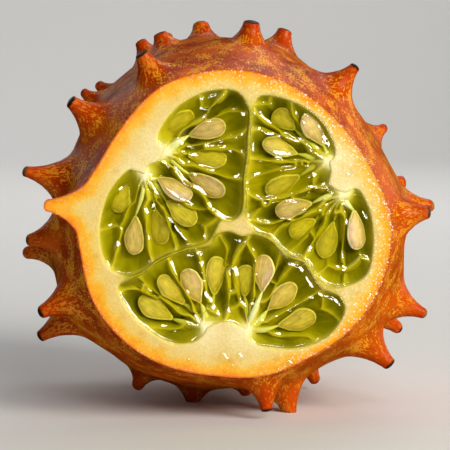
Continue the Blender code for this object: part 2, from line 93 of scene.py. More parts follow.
# Angle round the axis in degrees, depth of the root, length.
FRONT_HORNS = (
    (118, 6, 6.0), (110, 26, 4.0), (116, 37, 5.0), (97, 37, 4.8), (84, 15, 5.4),
    (72, 31, 5.2), (52, 13, 7.4), (28, 34, 4.8), (4, 24, 7.4), (3, 6, 7.0),
    (334, 17, 8.6), (327, 34, 9.0), (318, 14, 9.0), (299, 40, 8.6), (281, 5, 6.8),
    (276, 27, 3.2), (242, 30, 5.2), (211, 19, 9.4), (204, 9, 8.4), (190, 28, 7.4),
    (184, 15, 7.0), (172, 0, 8.4), (165, 13, 10.2), (143, 11, 8.0), (139, 28, 5.0),
    (134, 42, 5.0), (44, 46, 6.4), (8, 43, 6.8),
)
FOOT_HORNS = ((288, 15, 9.2), (259, 28, 6.0), (270, 50, 10.8))
# Rings of horns on the back: depth, how many there is a place for, angle of the first.
BACK_RINGS = ((51, 6, 352), (61, 6, 15), (70, 4, 50))
BACK_HORN_LENGTH, BACK_HORN_VARIES = 7.0, 1.0
BACK_JITTER, BACK_TURN = 1.5, 4.0
HORN_SPACING = 9.5
SCAR_DEPTH = 0.9
SCAR_SIZE = 3.4

SKIN_SPACING, RIM_SPACING = 0.95, 0.6
ROW_STEP = 0.87
# Room kept free, as shares of the spacing: round a horn at the rim and in the rows, and
# before the first row.
RIM_ROOM, ROW_ROOM, FIRST_ROW = 0.3, 0.35, 0.8
BACK_ROOM = 0.12
ROW_LEAST = 6
MAP_STEPS = 4000
HORN_SIDES = 18
HORN_RINGS = (1.0, 0.9, 0.8, 0.7, 0.6, 0.5, 0.41, 0.33, 0.26, 0.2, 0.15, 0.1, 0.05)


def place(points):
    """Set points from the fruit's axis, in millimetres, into the frame, in metres."""
    moved = np.array(points, dtype=float)
    moved[:, 0] += AXIS_X
    moved[:, 1] += solid_box[0][1] * 1000
    moved[:, 2] = np.maximum(moved[:, 2] + AXIS_HEIGHT, 0.0)
    return moved / 1000


def body_radius(depth):
    """The body's mean radius at a depth, as the section of an ellipsoid."""
    along = (np.asarray(depth, dtype=float) - CUT_AHEAD) / BODY_HALF_LENGTH
    return BODY_RADIUS * np.sqrt(np.maximum(0.0, 1 - along**2))


def bare_body(angle, depth):
    """The body without its horns: an ellipsoid with three soft bulges along it."""
    radius = body_radius(depth) * (1 + LOBE_BULGE * np.cos(3 * (angle - BULGE_ANGLE)))
    return np.stack([radius * np.cos(angle), depth, radius * np.sin(angle)], axis=-1)


def growth(angle, depth):
    """The way that skin and horns grow: square to the skin, and to the axis at the cut."""
    upright = np.minimum(1.0, depth / UPRIGHT_DEPTH)
    slope = (depth - CUT_AHEAD) / BODY_HALF_LENGTH**2
    across = body_radius(depth) / BODY_RADIUS**2
    way = np.stack([across * np.cos(angle), slope * upright, across * np.sin(angle)], axis=-1)
    return way / np.linalg.norm(way, axis=-1, keepdims=True)


class Horn:
    """One horn: a low wide mound that narrows to a blunt, slightly leaning tip."""

    def __init__(self, angle, depth, length, chance):
        self.angle = math.radians(angle)
        self.depth = depth
        self.foot = bare_body(np.float64(self.angle), np.float64(depth))
        self.round_axis = np.array([-math.sin(self.angle), 0, math.cos(self.angle)])
        self.way = growth(np.float64(self.angle), np.float64(depth))
        self.along = np.cross(self.way, self.round_axis)
        if self.along[1] < 0:
            self.along = -self.along
        lean = self.round_axis * chance.uniform(-HORN_LEAN, HORN_LEAN)
        if depth > UPRIGHT_DEPTH:
            lean = lean + self.along * chance.uniform(-HORN_LEAN, HORN_LEAN)
        self.way = self.way + lean
        self.way /= np.linalg.norm(self.way)
        self.mound = MOUND_SHARE * length
        self.length = length - self.mound
        self.root = ROOT_BASE + ROOT_SHARE * length
        if depth > 0:
            self.root = min(self.root, depth - RIM_CLEAR)

    def lift(self, bare):
        """How far points of the bare body move to lie on this horn, and how high up it."""
        offset = bare - self.foot
        across = np.outer(offset @ self.round_axis, self.round_axis)
        across += np.outer(offset @ self.along, self.along)
        distance = np.maximum(np.linalg.norm(across, axis=1), 1e-6)
        share = np.clip(1 - distance / self.root, 0, 1)
        rise = np.minimum(share / HORN_CAP, 1)
        turn = np.clip((share - HORN_CAP) / (1 - HORN_CAP), 0, 1) * math.pi / 2
        radius = self.tip + (self.root - self.tip) * (1 - rise) ** HORN_TAPER
        radius = np.where(share > HORN_CAP, self.tip * np.cos(turn), radius)
        height = (self.length - self.tip_height) * rise**HORN_STEEPNESS
        height += self.tip_height * np.sin(turn)
        inside = (distance < self.root)[:, None]
        move = np.outer(height, self.way) + across * (radius / distance - 1)[:, None]
        return np.where(inside, move, 0.0), np.where(inside[:, 0], height / self.length, 0.0)


def grow_horns():
    """The listed horns, then those of the back rings that find room between the others."""
    chance = random.Random(11)
    grown = [Horn(*row, chance) for row in FRONT_HORNS + FOOT_HORNS]
    for depth, count, first in BACK_RINGS:
        for index in range(count):
            angle = first + 360 * index / count + chance.uniform(-BACK_TURN, BACK_TURN)
            where = depth + chance.uniform(-BACK_JITTER, BACK_JITTER)
            length = BACK_HORN_LENGTH + chance.uniform(-BACK_HORN_VARIES, BACK_HORN_VARIES)
            horn = Horn(angle, where, length, chance)
            gaps = [np.linalg.norm(horn.foot - other.foot) for other in grown]
            if min(gaps) > HORN_SPACING:
                grown.append(horn)
    for horn in grown:
        gaps = [np.linalg.norm(horn.foot - other.foot) for other in grown if other is not horn]
        horn.root = min(horn.root, min(gaps) * ROOT_ROOM)
    blunt = random.Random(4)
    for horn in grown:
        horn.worn = math.sin(horn.angle) > WORN_ABOVE
        horn.tip = HORN_TIP * blunt.uniform(*TIP_RANGE) * (WORN_TIP if horn.worn else 1)
        horn.tip_height = horn.tip * blunt.uniform(*TIP_HEIGHTS)
        horn.tip_height *= WORN_HEIGHT if horn.worn else 1
    return grown


def waves(points, size, height, seed=0.0):
    """Smooth random unevenness of the given width and height, in millimetres."""
    shift = Vector((seed, 2 * seed, 3 * seed))
    return height * np.array([noise.noise(Vector(point) / size + shift) for point in points])


def bell(distance, width):
    """One at a place, and falling off round it over the given width."""
    return np.exp(-((distance / width) ** 2))


def scar(bare):
    """How strongly the blossom's scar marks each point, one at the middle of the far end."""
    across = np.hypot(bare[:, 0], bare[:, 2])
    return np.where(bare[:, 1] > CUT_AHEAD, bell(across, SCAR_SIZE), 0.0)


def skin_surface(angle, depth):
    """Points of the skin, how far up a horn each one is, and which horn it is on."""
    bare = bare_body(angle, depth)
    swell = np.zeros(len(bare))
    move = np.zeros_like(bare)
    height = np.zeros(len(bare))
    owner = np.full(len(bare), -1)
    for number, horn in enumerate(horns):
        distance = np.linalg.norm(bare - horn.foot, axis=1)
        near = distance < 3 * MOUND_WIDTH
        swell[near] += horn.mound * bell(distance[near], MOUND_WIDTH)
        lift, up = horn.lift(bare[near])
        move[near] += lift
        height[near] = np.maximum(height[near], up)
        owner[np.flatnonzero(near)[up > 0]] = number
    uneven = waves(bare, SWELL_SIZE, SWELL_HEIGHT)
    swell += uneven * (1 - height) * np.minimum(1, depth / SWELL_START)
    swell -= SCAR_DEPTH * scar(bare)
    return bare + growth(angle, depth) * swell[:, None] + move, height, owner


def turns(count, shift=0.0):
    """Even steps round a full turn."""
    return 2 * math.pi * (np.arange(count) + shift) / count


def skin_places():
    """Places (angle, depth) for the skin's corners: the rim first, then all the others."""
    rest = []
    for horn in horns:
        rest.append((horn.angle, horn.depth))
        for number, share in enumerate(HORN_RINGS):
            stagger = 0.5 * (number % 2) if horn.depth > 0 else 0.0
            turn = turns(HORN_SIDES, stagger)
            across = horn.root * share * np.cos(turn)
            behind = horn.root * share * np.sin(turn)
            depth = horn.depth + behind * abs(horn.along[1])
            angle = horn.angle + across / float(body_radius(horn.depth))
            rest += [pair for pair in zip(angle, depth) if pair[1] > -1e-6]
    rim = [pair for pair in rest if abs(pair[1]) <= 1e-6]
    rest = [pair for pair in rest if abs(pair[1]) > 1e-6]

    def free(angle, depth, room):
        """Keep the angles that stay clear of every horn's root."""
        bare = bare_body(angle, depth)
        keep = np.ones(len(bare), dtype=bool)
        for horn in horns:
            keep &= np.linalg.norm(bare - horn.foot, axis=1) > horn.root + room
        return angle[keep]

    count = round(2 * math.pi * float(body_radius(0)) / RIM_SPACING)
    angle = turns(count)
    rim += [(one, 0.0) for one in free(angle, np.zeros(count), RIM_SPACING * RIM_ROOM)]
    rim = sorted((one % (2 * math.pi), 0.0) for one, _ in rim)

    back = CUT_AHEAD + BODY_HALF_LENGTH
    depth, row = SKIN_SPACING * FIRST_ROW, 0
    while depth < back - BACK_ROOM:
        count = max(ROW_LEAST, round(2 * math.pi * float(body_radius(depth)) / SKIN_SPACING))
        angle = free(turns(count, 0.5 * (row % 2)), np.full(count, depth),
                     SKIN_SPACING * ROW_ROOM)
        rest += [(one, depth) for one in angle]
        slope = float(body_radius(depth + 0.1) - body_radius(depth - 0.1)) / 0.2
        depth += SKIN_SPACING * ROW_STEP / math.hypot(1, slope)
        row += 1
    rest.append((0.0, back))
    return rim, rest


def flat_map(angle, depth):
    """Lay the skin out flat round its back end, keeping its angles true."""
    steps = np.linspace(0, CUT_AHEAD + BODY_HALF_LENGTH, MAP_STEPS)
    radius = body_radius(steps)
    runs = np.hypot(np.diff(steps), np.diff(radius))
    middles = np.maximum((radius[1:] + radius[:-1]) / 2, 1e-3)
    size = np.exp(-np.concatenate([[0], np.cumsum(runs / middles)]))
    distance = np.interp(depth, steps, size)
    return np.stack([distance * np.cos(angle), distance * np.sin(angle)], axis=1)


def triangulate(flat, loops):
    """Triangles over flat points, kept inside the first loop of point numbers."""
    edges = [(loop[i], loop[(i + 1) % len(loop)]) for loop in loops for i in range(len(loop))]
    vectors = [Vector(point) for point in flat]
    _, _, triangles, sources, _, _ = delaunay_2d_cdt(vectors, edges, [], 1, 1e-9)
    number = [source[0] for source in sources]
    return np.array([[number[corner] for corner in triangle] for triangle in triangles])


def into_scene(name, data):
    """Put a mesh, a light or a camera into the scene."""
    added = bpy.data.objects.new(name, data)
    bpy.context.scene.collection.objects.link(added)
    return added


def build(name, points, faces, material, marks):
    """Make a smooth mesh piece from axis points, with its named marks on every corner."""
    mesh = bpy.data.meshes.new(name)
    mesh.from_pydata(place(points).tolist(), [], [tuple(map(int, face)) for face in faces])
    for mark, values in marks.items():
        values = np.asarray(values, dtype=np.float32)
        kind, field = ("FLOAT_VECTOR", "vector") if values.ndim == 2 else ("FLOAT", "value")
        layer = mesh.attributes.new(mark, kind, "POINT")
        layer.data.foreach_set(field, values.ravel())
    mesh.materials.append(material)
    mesh.shade_smooth()
    mesh.validate()
    return into_scene(name, mesh)


def colour(code):
    """An sRGB hex colour as the linear values that a shader takes."""
    channels = [int(code[start:start + 2], 16) / 255 for start in (0, 2, 4)]
    turned = [c / 12.92 if c <= 0.04045 else ((c + 0.055) / 1.055) ** 2.4 for c in channels]
    return (*turned, 1.0)


def plug(target, inputs):
    """Set a node's inputs to numbers or hex colours, or link them to a socket, or to the
    first output that another node has in use."""
    for name, value in inputs.items():
        if isinstance(value, bpy.types.Node):
            value = next(output for output in value.outputs if output.enabled)
        if isinstance(value, bpy.types.NodeSocket):
            target.id_data.links.new(value, target.inputs[name])
        else:
            target.inputs[name].default_value = (
                colour(value) if isinstance(value, str) else value)


def node(tree, kind, inputs=None, ramp=(), **settings):
    """Add a node with its settings, its colour ramp and its inputs."""
    added = tree.nodes.new("ShaderNode" + kind)
    for name, value in settings.items():
        setattr(added, name, value)
    if ramp:
        stops = added.color_ramp.elements
        while len(stops) < len(ramp):
            stops.new(1.0)
        for stop, (position, shade) in zip(stops, ramp):
            stop.position = position
            stop.color = colour(shade)
    plug(added, inputs or {})
    return added


def new_material(name):
    """A material, its shader, and node() set to add to its tree."""
    material = bpy.data.materials.new(name)
    material.use_nodes = True
    tree = material.node_tree
    return material, tree.nodes["Principled BSDF"], partial(node, tree)


# Widths of the peel's patterns, in millimetres. The flecks are as wide as real ones. Real
# pores are a tenth of one wide, too fine to show, so they are drawn coarser.
PATCH_SIZE, CLUSTER_SIZE, FLECK_SIZE, PORE_SIZE, FLAKE_SIZE = 7.0, 3.2, 0.38, 0.35, 0.4
# Painted light in part: the peel is more orange towards this side, where light falls on it, as
# well as where it ripened most.
RIPE_AND_LIT_SIDE = (0.8, 0.0, -0.6)


def waxy_peel():
    """Waxy peel: mottled cell by cell as it grew, so the flecks stretch up the horns. It is
    more orange towards its right and lower side, partly as the side that ripened most and
    partly as painted light where light falls on it, redder up the horns, and dry and brown at
    their tips and at the scar. The wax gives a soft broad shine, a little uneven."""
    material, shader, add = new_material("waxy_peel")
    grain = add("Attribute", attribute_name="grain").outputs["Vector"]
    horn, cork, scarred = (add("Attribute", attribute_name=mark).outputs["Fac"]
                           for mark in ("horn", "cork", "scar"))
    patch = add("TexNoise", {"Vector": grain, "Scale": 1 / PATCH_SIZE, "Detail": 3.0,
                             "Roughness": 0.55})
    base = add("ValToRGB", {"Fac": patch},
               ramp=((0.3, "842400"), (0.5, "a83600"), (0.72, "cc5600")))
    toward_lit_side = add("VectorMath", {0: grain, 1: RIPE_AND_LIT_SIDE}, operation="DOT_PRODUCT")
    riper_and_lit = add("MapRange", {"Value": toward_lit_side, "From Min": 4.0, "From Max": 34.0,
                             "To Max": 0.34})
    streak = add("VectorMath", {0: grain, 1: (1.0, 0.8, 1.0)}, operation="MULTIPLY")
    fleck = add("TexNoise", {"Vector": streak, "Scale": 1 / FLECK_SIZE, "Detail": 2.0,
                             "Roughness": 0.5, "Distortion": 0.8})
    thick = add("TexNoise", {"Vector": grain, "Scale": 1 / CLUSTER_SIZE, "Detail": 2.0})
    amount = add("Math", {0: thick, 1: 0.7, 2: fleck}, operation="MULTIPLY_ADD")
    speckle = add("MapRange", {"Value": amount, "From Min": 0.87, "From Max": 0.97,
                               "To Max": 0.74})
    redness = add("MapRange", {"Value": horn, "From Min": 0.05, "From Max": 0.8,
                               "To Max": 0.72})
    flakes = add("TexNoise", {"Vector": grain, "Scale": 1 / FLAKE_SIZE, "Detail": 2.0})
    tip_line = add("Math", {0: flakes, 1: 0.08, 2: horn}, operation="MULTIPLY_ADD")
    tip = add("MapRange", {"Value": tip_line, "From Min": 0.93, "From Max": 0.975})
    dry = add("ValToRGB", {"Fac": cork},
              ramp=((0.0, "1f120c"), (0.55, "3d2415"), (0.8, "6a3f20"), (1.0, "a0703e")))
    scar_line = add("Math", {0: flakes, 1: 0.5, 2: scarred}, operation="MULTIPLY_ADD")
    healed = add("MapRange", {"Value": scar_line, "From Min": 0.85, "From Max": 1.0})
    shade = base
    for share, tint in ((riper_and_lit, "e06c00"), (speckle, "eea424"), (redness, "b23000"),
                        (tip, dry), (healed, "5a3414")):
        shade = add("Mix", {0: share, 6: shade, 7: tint}, data_type="RGBA")
    wax = add("MapRange", {"Value": fleck, "To Min": 0.26, "To Max": 0.44})
    pores = add("TexNoise", {"Vector": grain, "Scale": 1 / PORE_SIZE, "Detail": 4.0})
    dimples = add("Math", {0: pores, 1: fleck}, operation="ADD")
    bump = add("Bump", {"Height": dimples, "Strength": 0.35, "Distance": 0.0002})
    plug(shader, {
        "Base Color": shade, "Roughness": wax, "Normal": bump, "IOR": 1.4,
        "Specular IOR Level": 0.24, "Specular Tint": "ffbe8c",
        "Coat Weight": 0.05, "Coat Roughness": 0.2,
    })
    return material


horns = grow_horns()
rim, others = skin_places()
places = np.array(rim + others, dtype=float)
skin_points, horn_height, horn_number = skin_surface(*places.T)
rim_points = skin_points[:len(rim)]
skin_faces = triangulate(flat_map(*places.T), [range(len(rim))])
chance = random.Random(5)
corkiness = [chance.random() * (WORN_CORK if horn.worn else 1) for horn in horns] + [0.0]
bare = bare_body(*places.T)
skin = build("skin", skin_points, skin_faces[:, ::-1], waxy_peel(), {
    "grain": bare,
    "horn": horn_height,
    "cork": np.array(corkiness)[horn_number],
    "scar": scar(bare),
})
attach(skin, "root")
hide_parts("rind")


# ------------------------------------------------------------------------------ flesh
# Firm moist flesh under the skin, with three thin walls that meet in the middle. It was cut
# clean with a knife. Orange at the peel, cream further in, greenish where it meets jelly.

FLESH_LEVEL = 0.12
FLESH_SPACING = 0.55
OUTLINE_STEP = 0.5
# Room kept free of other points, as shares of the spacing: inside an edge, round a lobe.
EDGE_ROOM, LOBE_ROOM = 0.5, 0.35
# The lip of a lobe: how far inside its outline each loop lies, and how deep.
LIP = ((-0.3, 0.0), (-0.12, 0.08), (0.05, 0.3), (0.2, 1.1), (0.32, 2.6), (0.45, 6.0))

# Each lobe's outline at the cut, and the two roots that its seeds grow from. For a seed:
# its root's number, its pointed end, its round end, and its depth. Pale is how light each
# seed is. For a sac without a seed: its root, where along it starts, and its end.
LOBES = {
    "left": {
        "outline": (
            (2.5, 23.2), (0.4, 27.0), (-5.0, 27.2), (-10.6, 24.6), (-14.2, 20.6),
            (-15.2, 17.8), (-14.0, 15.6), (-15.2, 13.4), (-17.2, 12.4), (-18.0, 10.7),
            (-19.6, 11.2), (-21.6, 11.2), (-25.2, 6.6), (-26.8, -0.4), (-25.6, -6.8),
            (-22.0, -9.2), (-18.4, -8.3), (-15.6, -6.0), (-10.4, -3.9), (-6.0, -2.6),
            (-4.2, -0.2), (-3.0, 1.5), (-0.4, 1.7), (1.0, 3.4), (1.4, 6.4), (1.4, 9.6),
            (2.0, 14.2), (2.2, 18.5),
        ),
        "roots": ((-13.9, 15.4), (-17.9, 10.6)),
        "seeds": (
            (0, (-14.6, 18.6), (-8.2, 23.1), 2.8),
            (0, (-9.1, 18.5), (-1.8, 20.7), 1.7),
            (0, (-9.4, 14.6), (-1.6, 13.4), 2.8),
            (0, (-9.1, 10.8), (-2.0, 6.6), 1.7),
            (1, (-15.4, 10.0), (-8.6, 6.0), 1.7),
            (1, (-13.6, 5.4), (-7.8, 0.8), 2.6),
            (1, (-16.0, 3.6), (-14.4, -3.4), 2.8),
            (1, (-19.8, 2.4), (-20.2, -5.4), 1.9),
            (1, (-21.4, 9.0), (-23.9, 3.2), 2.9),
        ),
        "pale": (1.0, 0.93, 1.0, 0.96, 0.98, 1.06, 0.95, 1.02, 1.0),
        "bare": ((0, 0.0, (0.2, 24.9)), (0, 0.8, (-5.6, 25.6)), (0, 0.0, (1.2, 16.8)),
                 (1, 0.0, (-5.0, -0.4)), (1, 0.3, (-11.2, -3.0)), (1, 0.8, (-25.4, -3.6))),
    },
    "bottom": {
        "outline": (
            (-23.2, -12.2), (-19.4, -18.4), (-13.4, -22.6), (-9.2, -23.0), (-6.8, -21.6),
            (-5.5, -19.7), (-2.0, -18.7), (1.2, -19.8), (2.6, -20.9), (3.6, -22.9),
            (6.6, -24.0), (13.0, -24.2), (18.6, -21.8), (21.8, -17.4), (21.0, -14.2),
            (17.4, -12.7), (15.7, -10.6), (13.5, -7.4), (10.0, -6.0), (7.0, -2.9),
            (3.9, -1.7), (1.4, -1.8), (-1.2, -0.9), (-3.4, -1.6), (-5.0, -3.8),
            (-10.1, -4.85), (-15.2, -6.95), (-18.3, -9.25), (-20.6, -10.5),
        ),
        "roots": ((-6.0, -19.8), (2.5, -20.6)),
        "seeds": (
            (0, (-12.5, -18.4), (-19.2, -14.2), 2.45),
            (0, (-10.2, -15.4), (-15.2, -9.8), 2.3),
            (0, (-6.8, -15.2), (-9.9, -8.3), 1.7),
            (0, (-4.1, -13.6), (-3.5, -5.8), 2.45),
            (1, (2.0, -14.0), (2.6, -7.6), 2.9),
            (1, (5.6, -13.0), (6.1, -5.5), 1.7),
            (1, (6.8, -16.8), (12.3, -11.5), 1.9),
            (1, (8.8, -20.0), (16.5, -18.0), 2.2),
        ),
        "pale": (1.1, 1.12, 1.2, 1.1, 1.0, 1.2, 1.12, 1.06),
        "bare": ((0, 0.0, (-15.4, -21.6)), (0, 0.7, (-20.4, -11.4)), (0, 0.6, (-0.6, -3.0)),
                 (1, 0.0, (12.6, -22.9)), (1, 0.8, (20.8, -16.0)), (1, 0.7, (9.4, -7.6)),
                 (1, 0.0, (-0.6, -10.0))),
    },
    "right": {
        "outline": (
            (3.8, 23.0), (5.2, 26.2), (11.0, 25.2), (16.6, 21.8), (19.4, 17.2),
            (19.8, 14.6), (18.7, 13.2), (19.0, 11.2), (18.7, 8.8), (20.4, 7.3),
            (22.4, 6.8), (24.2, 7.6), (25.6, 6.2), (27.2, 2.0), (27.6, -4.0),
            (26.4, -9.4), (22.8, -11.6), (19.4, -11.6), (16.8, -9.8), (14.4, -6.4),
            (10.6, -5.0), (7.6, -1.9), (4.6, -0.5), (2.6, 2.4), (2.6, 6.4), (2.4, 9.6),
            (3.2, 14.2), (3.4, 18.5),
        ),
        "roots": ((18.5, 13.2), (21.6, 6.7)),
        "seeds": (
            (0, (17.9, 16.4), (13.9, 22.7), 1.7),
            (0, (12.2, 19.6), (8.0, 23.4), 3.0),
            (0, (12.7, 14.7), (5.6, 17.1), 2.1),
            (0, (13.2, 10.2), (6.2, 7.0), 2.6),
            (1, (15.6, 4.9), (8.2, 3.0), 1.8),
            (1, (16.4, 1.4), (11.2, -1.8), 3.0),
            (1, (20.2, 1.0), (17.8, -6.4), 2.8),
            (1, (24.1, 3.4), (24.8, -4.6), 1.7),
        ),
        "pale": (1.12, 1.0, 0.98, 1.0, 0.94, 1.06, 1.0, 1.1),
        "bare": ((0, 0.7, (7.2, 24.4)), (0, 0.7, (4.2, 21.0)), (0, 0.3, (3.0, 11.8)),
                 (0, 0.0, (17.0, 9.4)), (1, 0.4, (4.4, 5.0)), (1, 0.4, (6.8, -0.4)),
                 (1, 0.0, (13.2, -4.6)), (1, 0.0, (18.6, -9.8)), (1, 0.85, (25.4, -8.0))),
    },
}


def turning(loop):
    """Above zero for a loop that runs anticlockwise, seen from the front."""
    x, y = loop.T
    return np.sum(x * np.roll(y, -1) - np.roll(x, -1) * y)


def smooth_loop(points, step):
    """A closed smooth curve through the points, as corners about one step apart."""
    spots = np.array(points)
    corners = []
    for index in range(len(spots)):
        a, b, c, d = (spots[(index + shift) % len(spots)] for shift in (-1, 0, 1, 2))
        pieces = max(1, round(float(np.linalg.norm(c - b)) / step))
        t = (np.arange(pieces) / pieces)[:, None]
        curve = 2 * b + (c - a) * t + (2 * a - 5 * b + 4 * c - d) * t**2
        corners.append((curve + (3 * b - a - 3 * c + d) * t**3) / 2)
    loop = np.concatenate(corners)
    return loop if turning(loop) > 0 else loop[::-1]


def inset(loop, distance):
    """Move a loop inwards, square to its own run."""
    run = np.roll(loop, -1, axis=0) - np.roll(loop, 1, axis=0)
    run /= np.linalg.norm(run, axis=1, keepdims=True)
    side = np.stack([-run[:, 1], run[:, 0]], axis=1) * np.sign(turning(loop))
    return loop + side * distance


def inside(points, loop):
    """Which of the points lie inside a loop."""
    result = np.zeros(len(points), dtype=bool)
    for a, b in zip(loop, np.roll(loop, -1, axis=0)):
        crosses = (a[1] > points[:, 1]) != (b[1] > points[:, 1])
        if crosses.any():
            x = a[0] + (b[0] - a[0]) * (points[:, 1] - a[1]) / (b[1] - a[1] or 1e-9)
            result ^= crosses & (points[:, 0] < x)
    return result


def distance_to_run(points, start, end):
    """How far each point is from the straight run between two ends."""
    run = end - start
    share = np.clip((points - start) @ run / max(run @ run, 1e-9), 0, 1)
    return np.linalg.norm(points - start - share[:, None] * run, axis=1)


def distance_to_loop(points, loop):
    """How far each point is from the nearest place on a loop."""
    best = np.full(len(points), 1e9)
    for a, b in zip(loop, np.roll(loop, -1, axis=0)):
        best = np.minimum(best, distance_to_run(points, a, b))
    return best


def dots(loop, spacing):
    """Evenly staggered points over a loop's own box."""
    low, high = loop.min(axis=0), loop.max(axis=0)
    rows = np.arange(low[1], high[1], spacing * ROW_STEP)
    grid = []
    for number, row in enumerate(rows):
        columns = np.arange(low[0] + 0.5 * spacing * (number % 2), high[0], spacing)
        grid.append(np.stack([columns, np.full(len(columns), row)], axis=1))
    return np.concatenate(grid)


def at_depth(flat, depth):
    """Flat points on the cut, set to a depth behind it."""
    return np.stack([flat[:, 0], np.full(len(flat), depth), flat[:, 1]], axis=1)


# Widths of the flesh's patterns, in millimetres. Its cells, and the drops that stand on them,
# are really a quarter of a millimetre wide or less, so they are drawn coarser. The specks are
# painted highlights, as of light glinting on such drops.
BLOT_SIZE, STRAND_SIZE, FILM_SIZE = 4.0, 2.2, 1.4
CELL_SIZE, SPECK_SIZE, RAGGED_SIZE, DROPLET_SIZE = 0.45, 0.4, 0.3, 0.5
# The side that the key light comes from, where more painted glints are drawn.
KEY_LIGHT_SIDE = (1.0, 0.0, 0.25)


def moist_flesh():
    """Moist flesh: cream and finely celled, with a line of peel round the edge, a ring of
    small orange veins a few millimetres in, pale ridges where the seeds grow, and glassy green
    walls. Painted highlights sparkle on it as small glints, like light on drops of juice, more
    of them towards the key light. Deep in its pockets behind the jelly it is painted darker
    olive, as painted shade and the jelly's tint."""
    material, shader, add = new_material("moist_flesh")
    peel, jelly, deep, vein, thin, root = (add("Attribute", attribute_name=mark).outputs["Fac"]
                                           for mark in ("peel", "jelly", "deep", "vein",
                                                        "thin", "root"))
    where = add("Attribute", attribute_name="grain").outputs["Vector"]
    blot = add("TexNoise", {"Vector": where, "Scale": 1 / BLOT_SIZE, "Detail": 4.0})
    uneven = add("MapRange", {"Value": blot, "From Min": 0.3, "From Max": 0.7, "To Min": -0.9,
                              "To Max": 0.9})
    band = add("Math", {0: peel, 1: uneven}, operation="ADD")
    spread = add("MapRange", {"Value": band, "From Max": 6.0})
    inner = add("ValToRGB", {"Fac": spread},
                ramp=((0.0, "f08e02"), (0.17, "f5a810"), (0.36, "f1b936"), (0.5, "e9c666"),
                      (0.8, "e4ca7c")))
    line = add("MapRange", {"Value": peel, "From Min": 0.1, "From Max": 0.4, "To Min": 0.9,
                            "To Max": 0.0})
    green = add("MapRange", {"Value": jelly, "From Min": 0.2, "From Max": 1.1, "To Min": 0.9,
                             "To Max": 0.0})
    strands = add("TexNoise", {"Vector": where, "Scale": 1 / STRAND_SIZE, "Detail": 2.0,
                               "Distortion": 0.6})
    strand = add("Math", {0: jelly, 1: 0.9, 2: strands}, operation="MULTIPLY_ADD")
    glassy = add("ValToRGB", {"Fac": strand},
                 ramp=((0.4, "8c8404"), (0.62, "a49a0a"), (0.85, "baaa18"), (1.0, "d4c040")))
    whiter = add("Math", {0: root, 1: blot}, operation="MULTIPLY")
    shade = inner
    # The deep mark lays painted shade, darker olive, on flesh deep in the pockets behind the
    # jelly.
    for share, tint in ((line, "c84400"), (vein, "dc9a28"), (green, "e2ca6c"),
                        (thin, glassy), (whiter, "f7ebb4"), (deep, "98921c")):
        shade = add("Mix", {0: share, 6: shade, 7: tint}, data_type="RGBA")
    cells = add("TexVoronoi", {"Vector": where, "Scale": 1 / CELL_SIZE})
    light = add("MapRange", {"Value": cells, "From Max": 0.7, "To Min": 1.06, "To Max": 0.95})
    celled = add("HueSaturation", {"Color": shade, "Value": light})

    # Painted highlights: small pale glints on the flesh, as on drops of juice, more of them
    # towards the key light and near the peel.
    ragged = add("TexNoise", {"Vector": where, "Scale": 1 / RAGGED_SIZE, "Detail": 1.0})
    warped = add("VectorMath", {0: ragged.outputs["Color"], 1: (0.5, 0.5, 0.5), 2: where},
                 operation="MULTIPLY_ADD")
    specks = add("TexVoronoi", {"Vector": warped, "Scale": 1 / SPECK_SIZE})
    pick = add("SeparateColor", {"Color": specks.outputs["Color"]}).outputs
    reach = add("Math", {0: pick["Green"], 1: -0.3, 2: specks}, operation="MULTIPLY_ADD")
    speck = add("MapRange", {"Value": reach, "From Min": -0.02, "From Max": 0.26,
                             "To Min": 1.0, "To Max": 0.0})
    some = add("MapRange", {"Value": pick["Red"], "From Min": 0.15, "From Max": 0.9})
    across = add("VectorMath", {0: where, 1: KEY_LIGHT_SIDE}, operation="DOT_PRODUCT")
    toward_key_light = add("MapRange", {"Value": across, "From Min": -6.0, "From Max": 28.0,
                              "To Min": 0.3, "To Max": 2.0})
    near = add("MapRange", {"Value": peel, "From Min": 0.3, "From Max": 6.0, "To Min": 0.85,
                            "To Max": 0.35})
    for share in (some, toward_key_light, near):
        speck = add("Math", {0: speck, 1: share}, operation="MULTIPLY")
    sparkling = add("Mix", {0: speck, 6: celled, 7: "fff6da"}, data_type="RGBA")

    film = add("TexNoise", {"Vector": where, "Scale": 1 / FILM_SIZE, "Detail": 3.0})
    wet = add("MapRange", {"Value": film, "From Min": 0.35, "From Max": 0.65, "To Min": 0.22,
                           "To Max": 0.42})
    grainy = add("Math", {0: cells, 1: -0.6, 2: film}, operation="MULTIPLY_ADD")
    bump = add("Bump", {"Height": grainy, "Strength": 0.16, "Distance": 0.0003})
    drops = add("TexNoise", {"Vector": where, "Scale": 1 / DROPLET_SIZE, "Detail": 2.0,
                             "Roughness": 0.6})
    beaded = add("Bump", {"Height": drops, "Strength": 1.0, "Distance": 0.0007})
    plug(shader, {
        "Base Color": sparkling, "Roughness": wet, "Normal": bump, "IOR": 1.36,
        "Coat Weight": 0.35, "Coat Roughness": 0.08, "Coat IOR": 1.4, "Coat Normal": beaded,
        "Subsurface Weight": 0.15, "Subsurface Radius": (1.0, 0.6, 0.2),
        "Subsurface Scale": 0.0015,
    })
    return material


WALL_THINNED = 0.22
THIN_WALL, THICK_WALL = 1.0, 2.4
RIM_TOUCH = 0.05
LIP_FACE = 0.3
# Behind this depth the flesh is painted darker olive, as painted shade and the jelly's tint in
# its pockets.
DEEP_START, DEEP_RANGE = 0.8, 4.0
FAR_FROM_PEEL = 9.0
HOLLOW_ROOM = 0.02
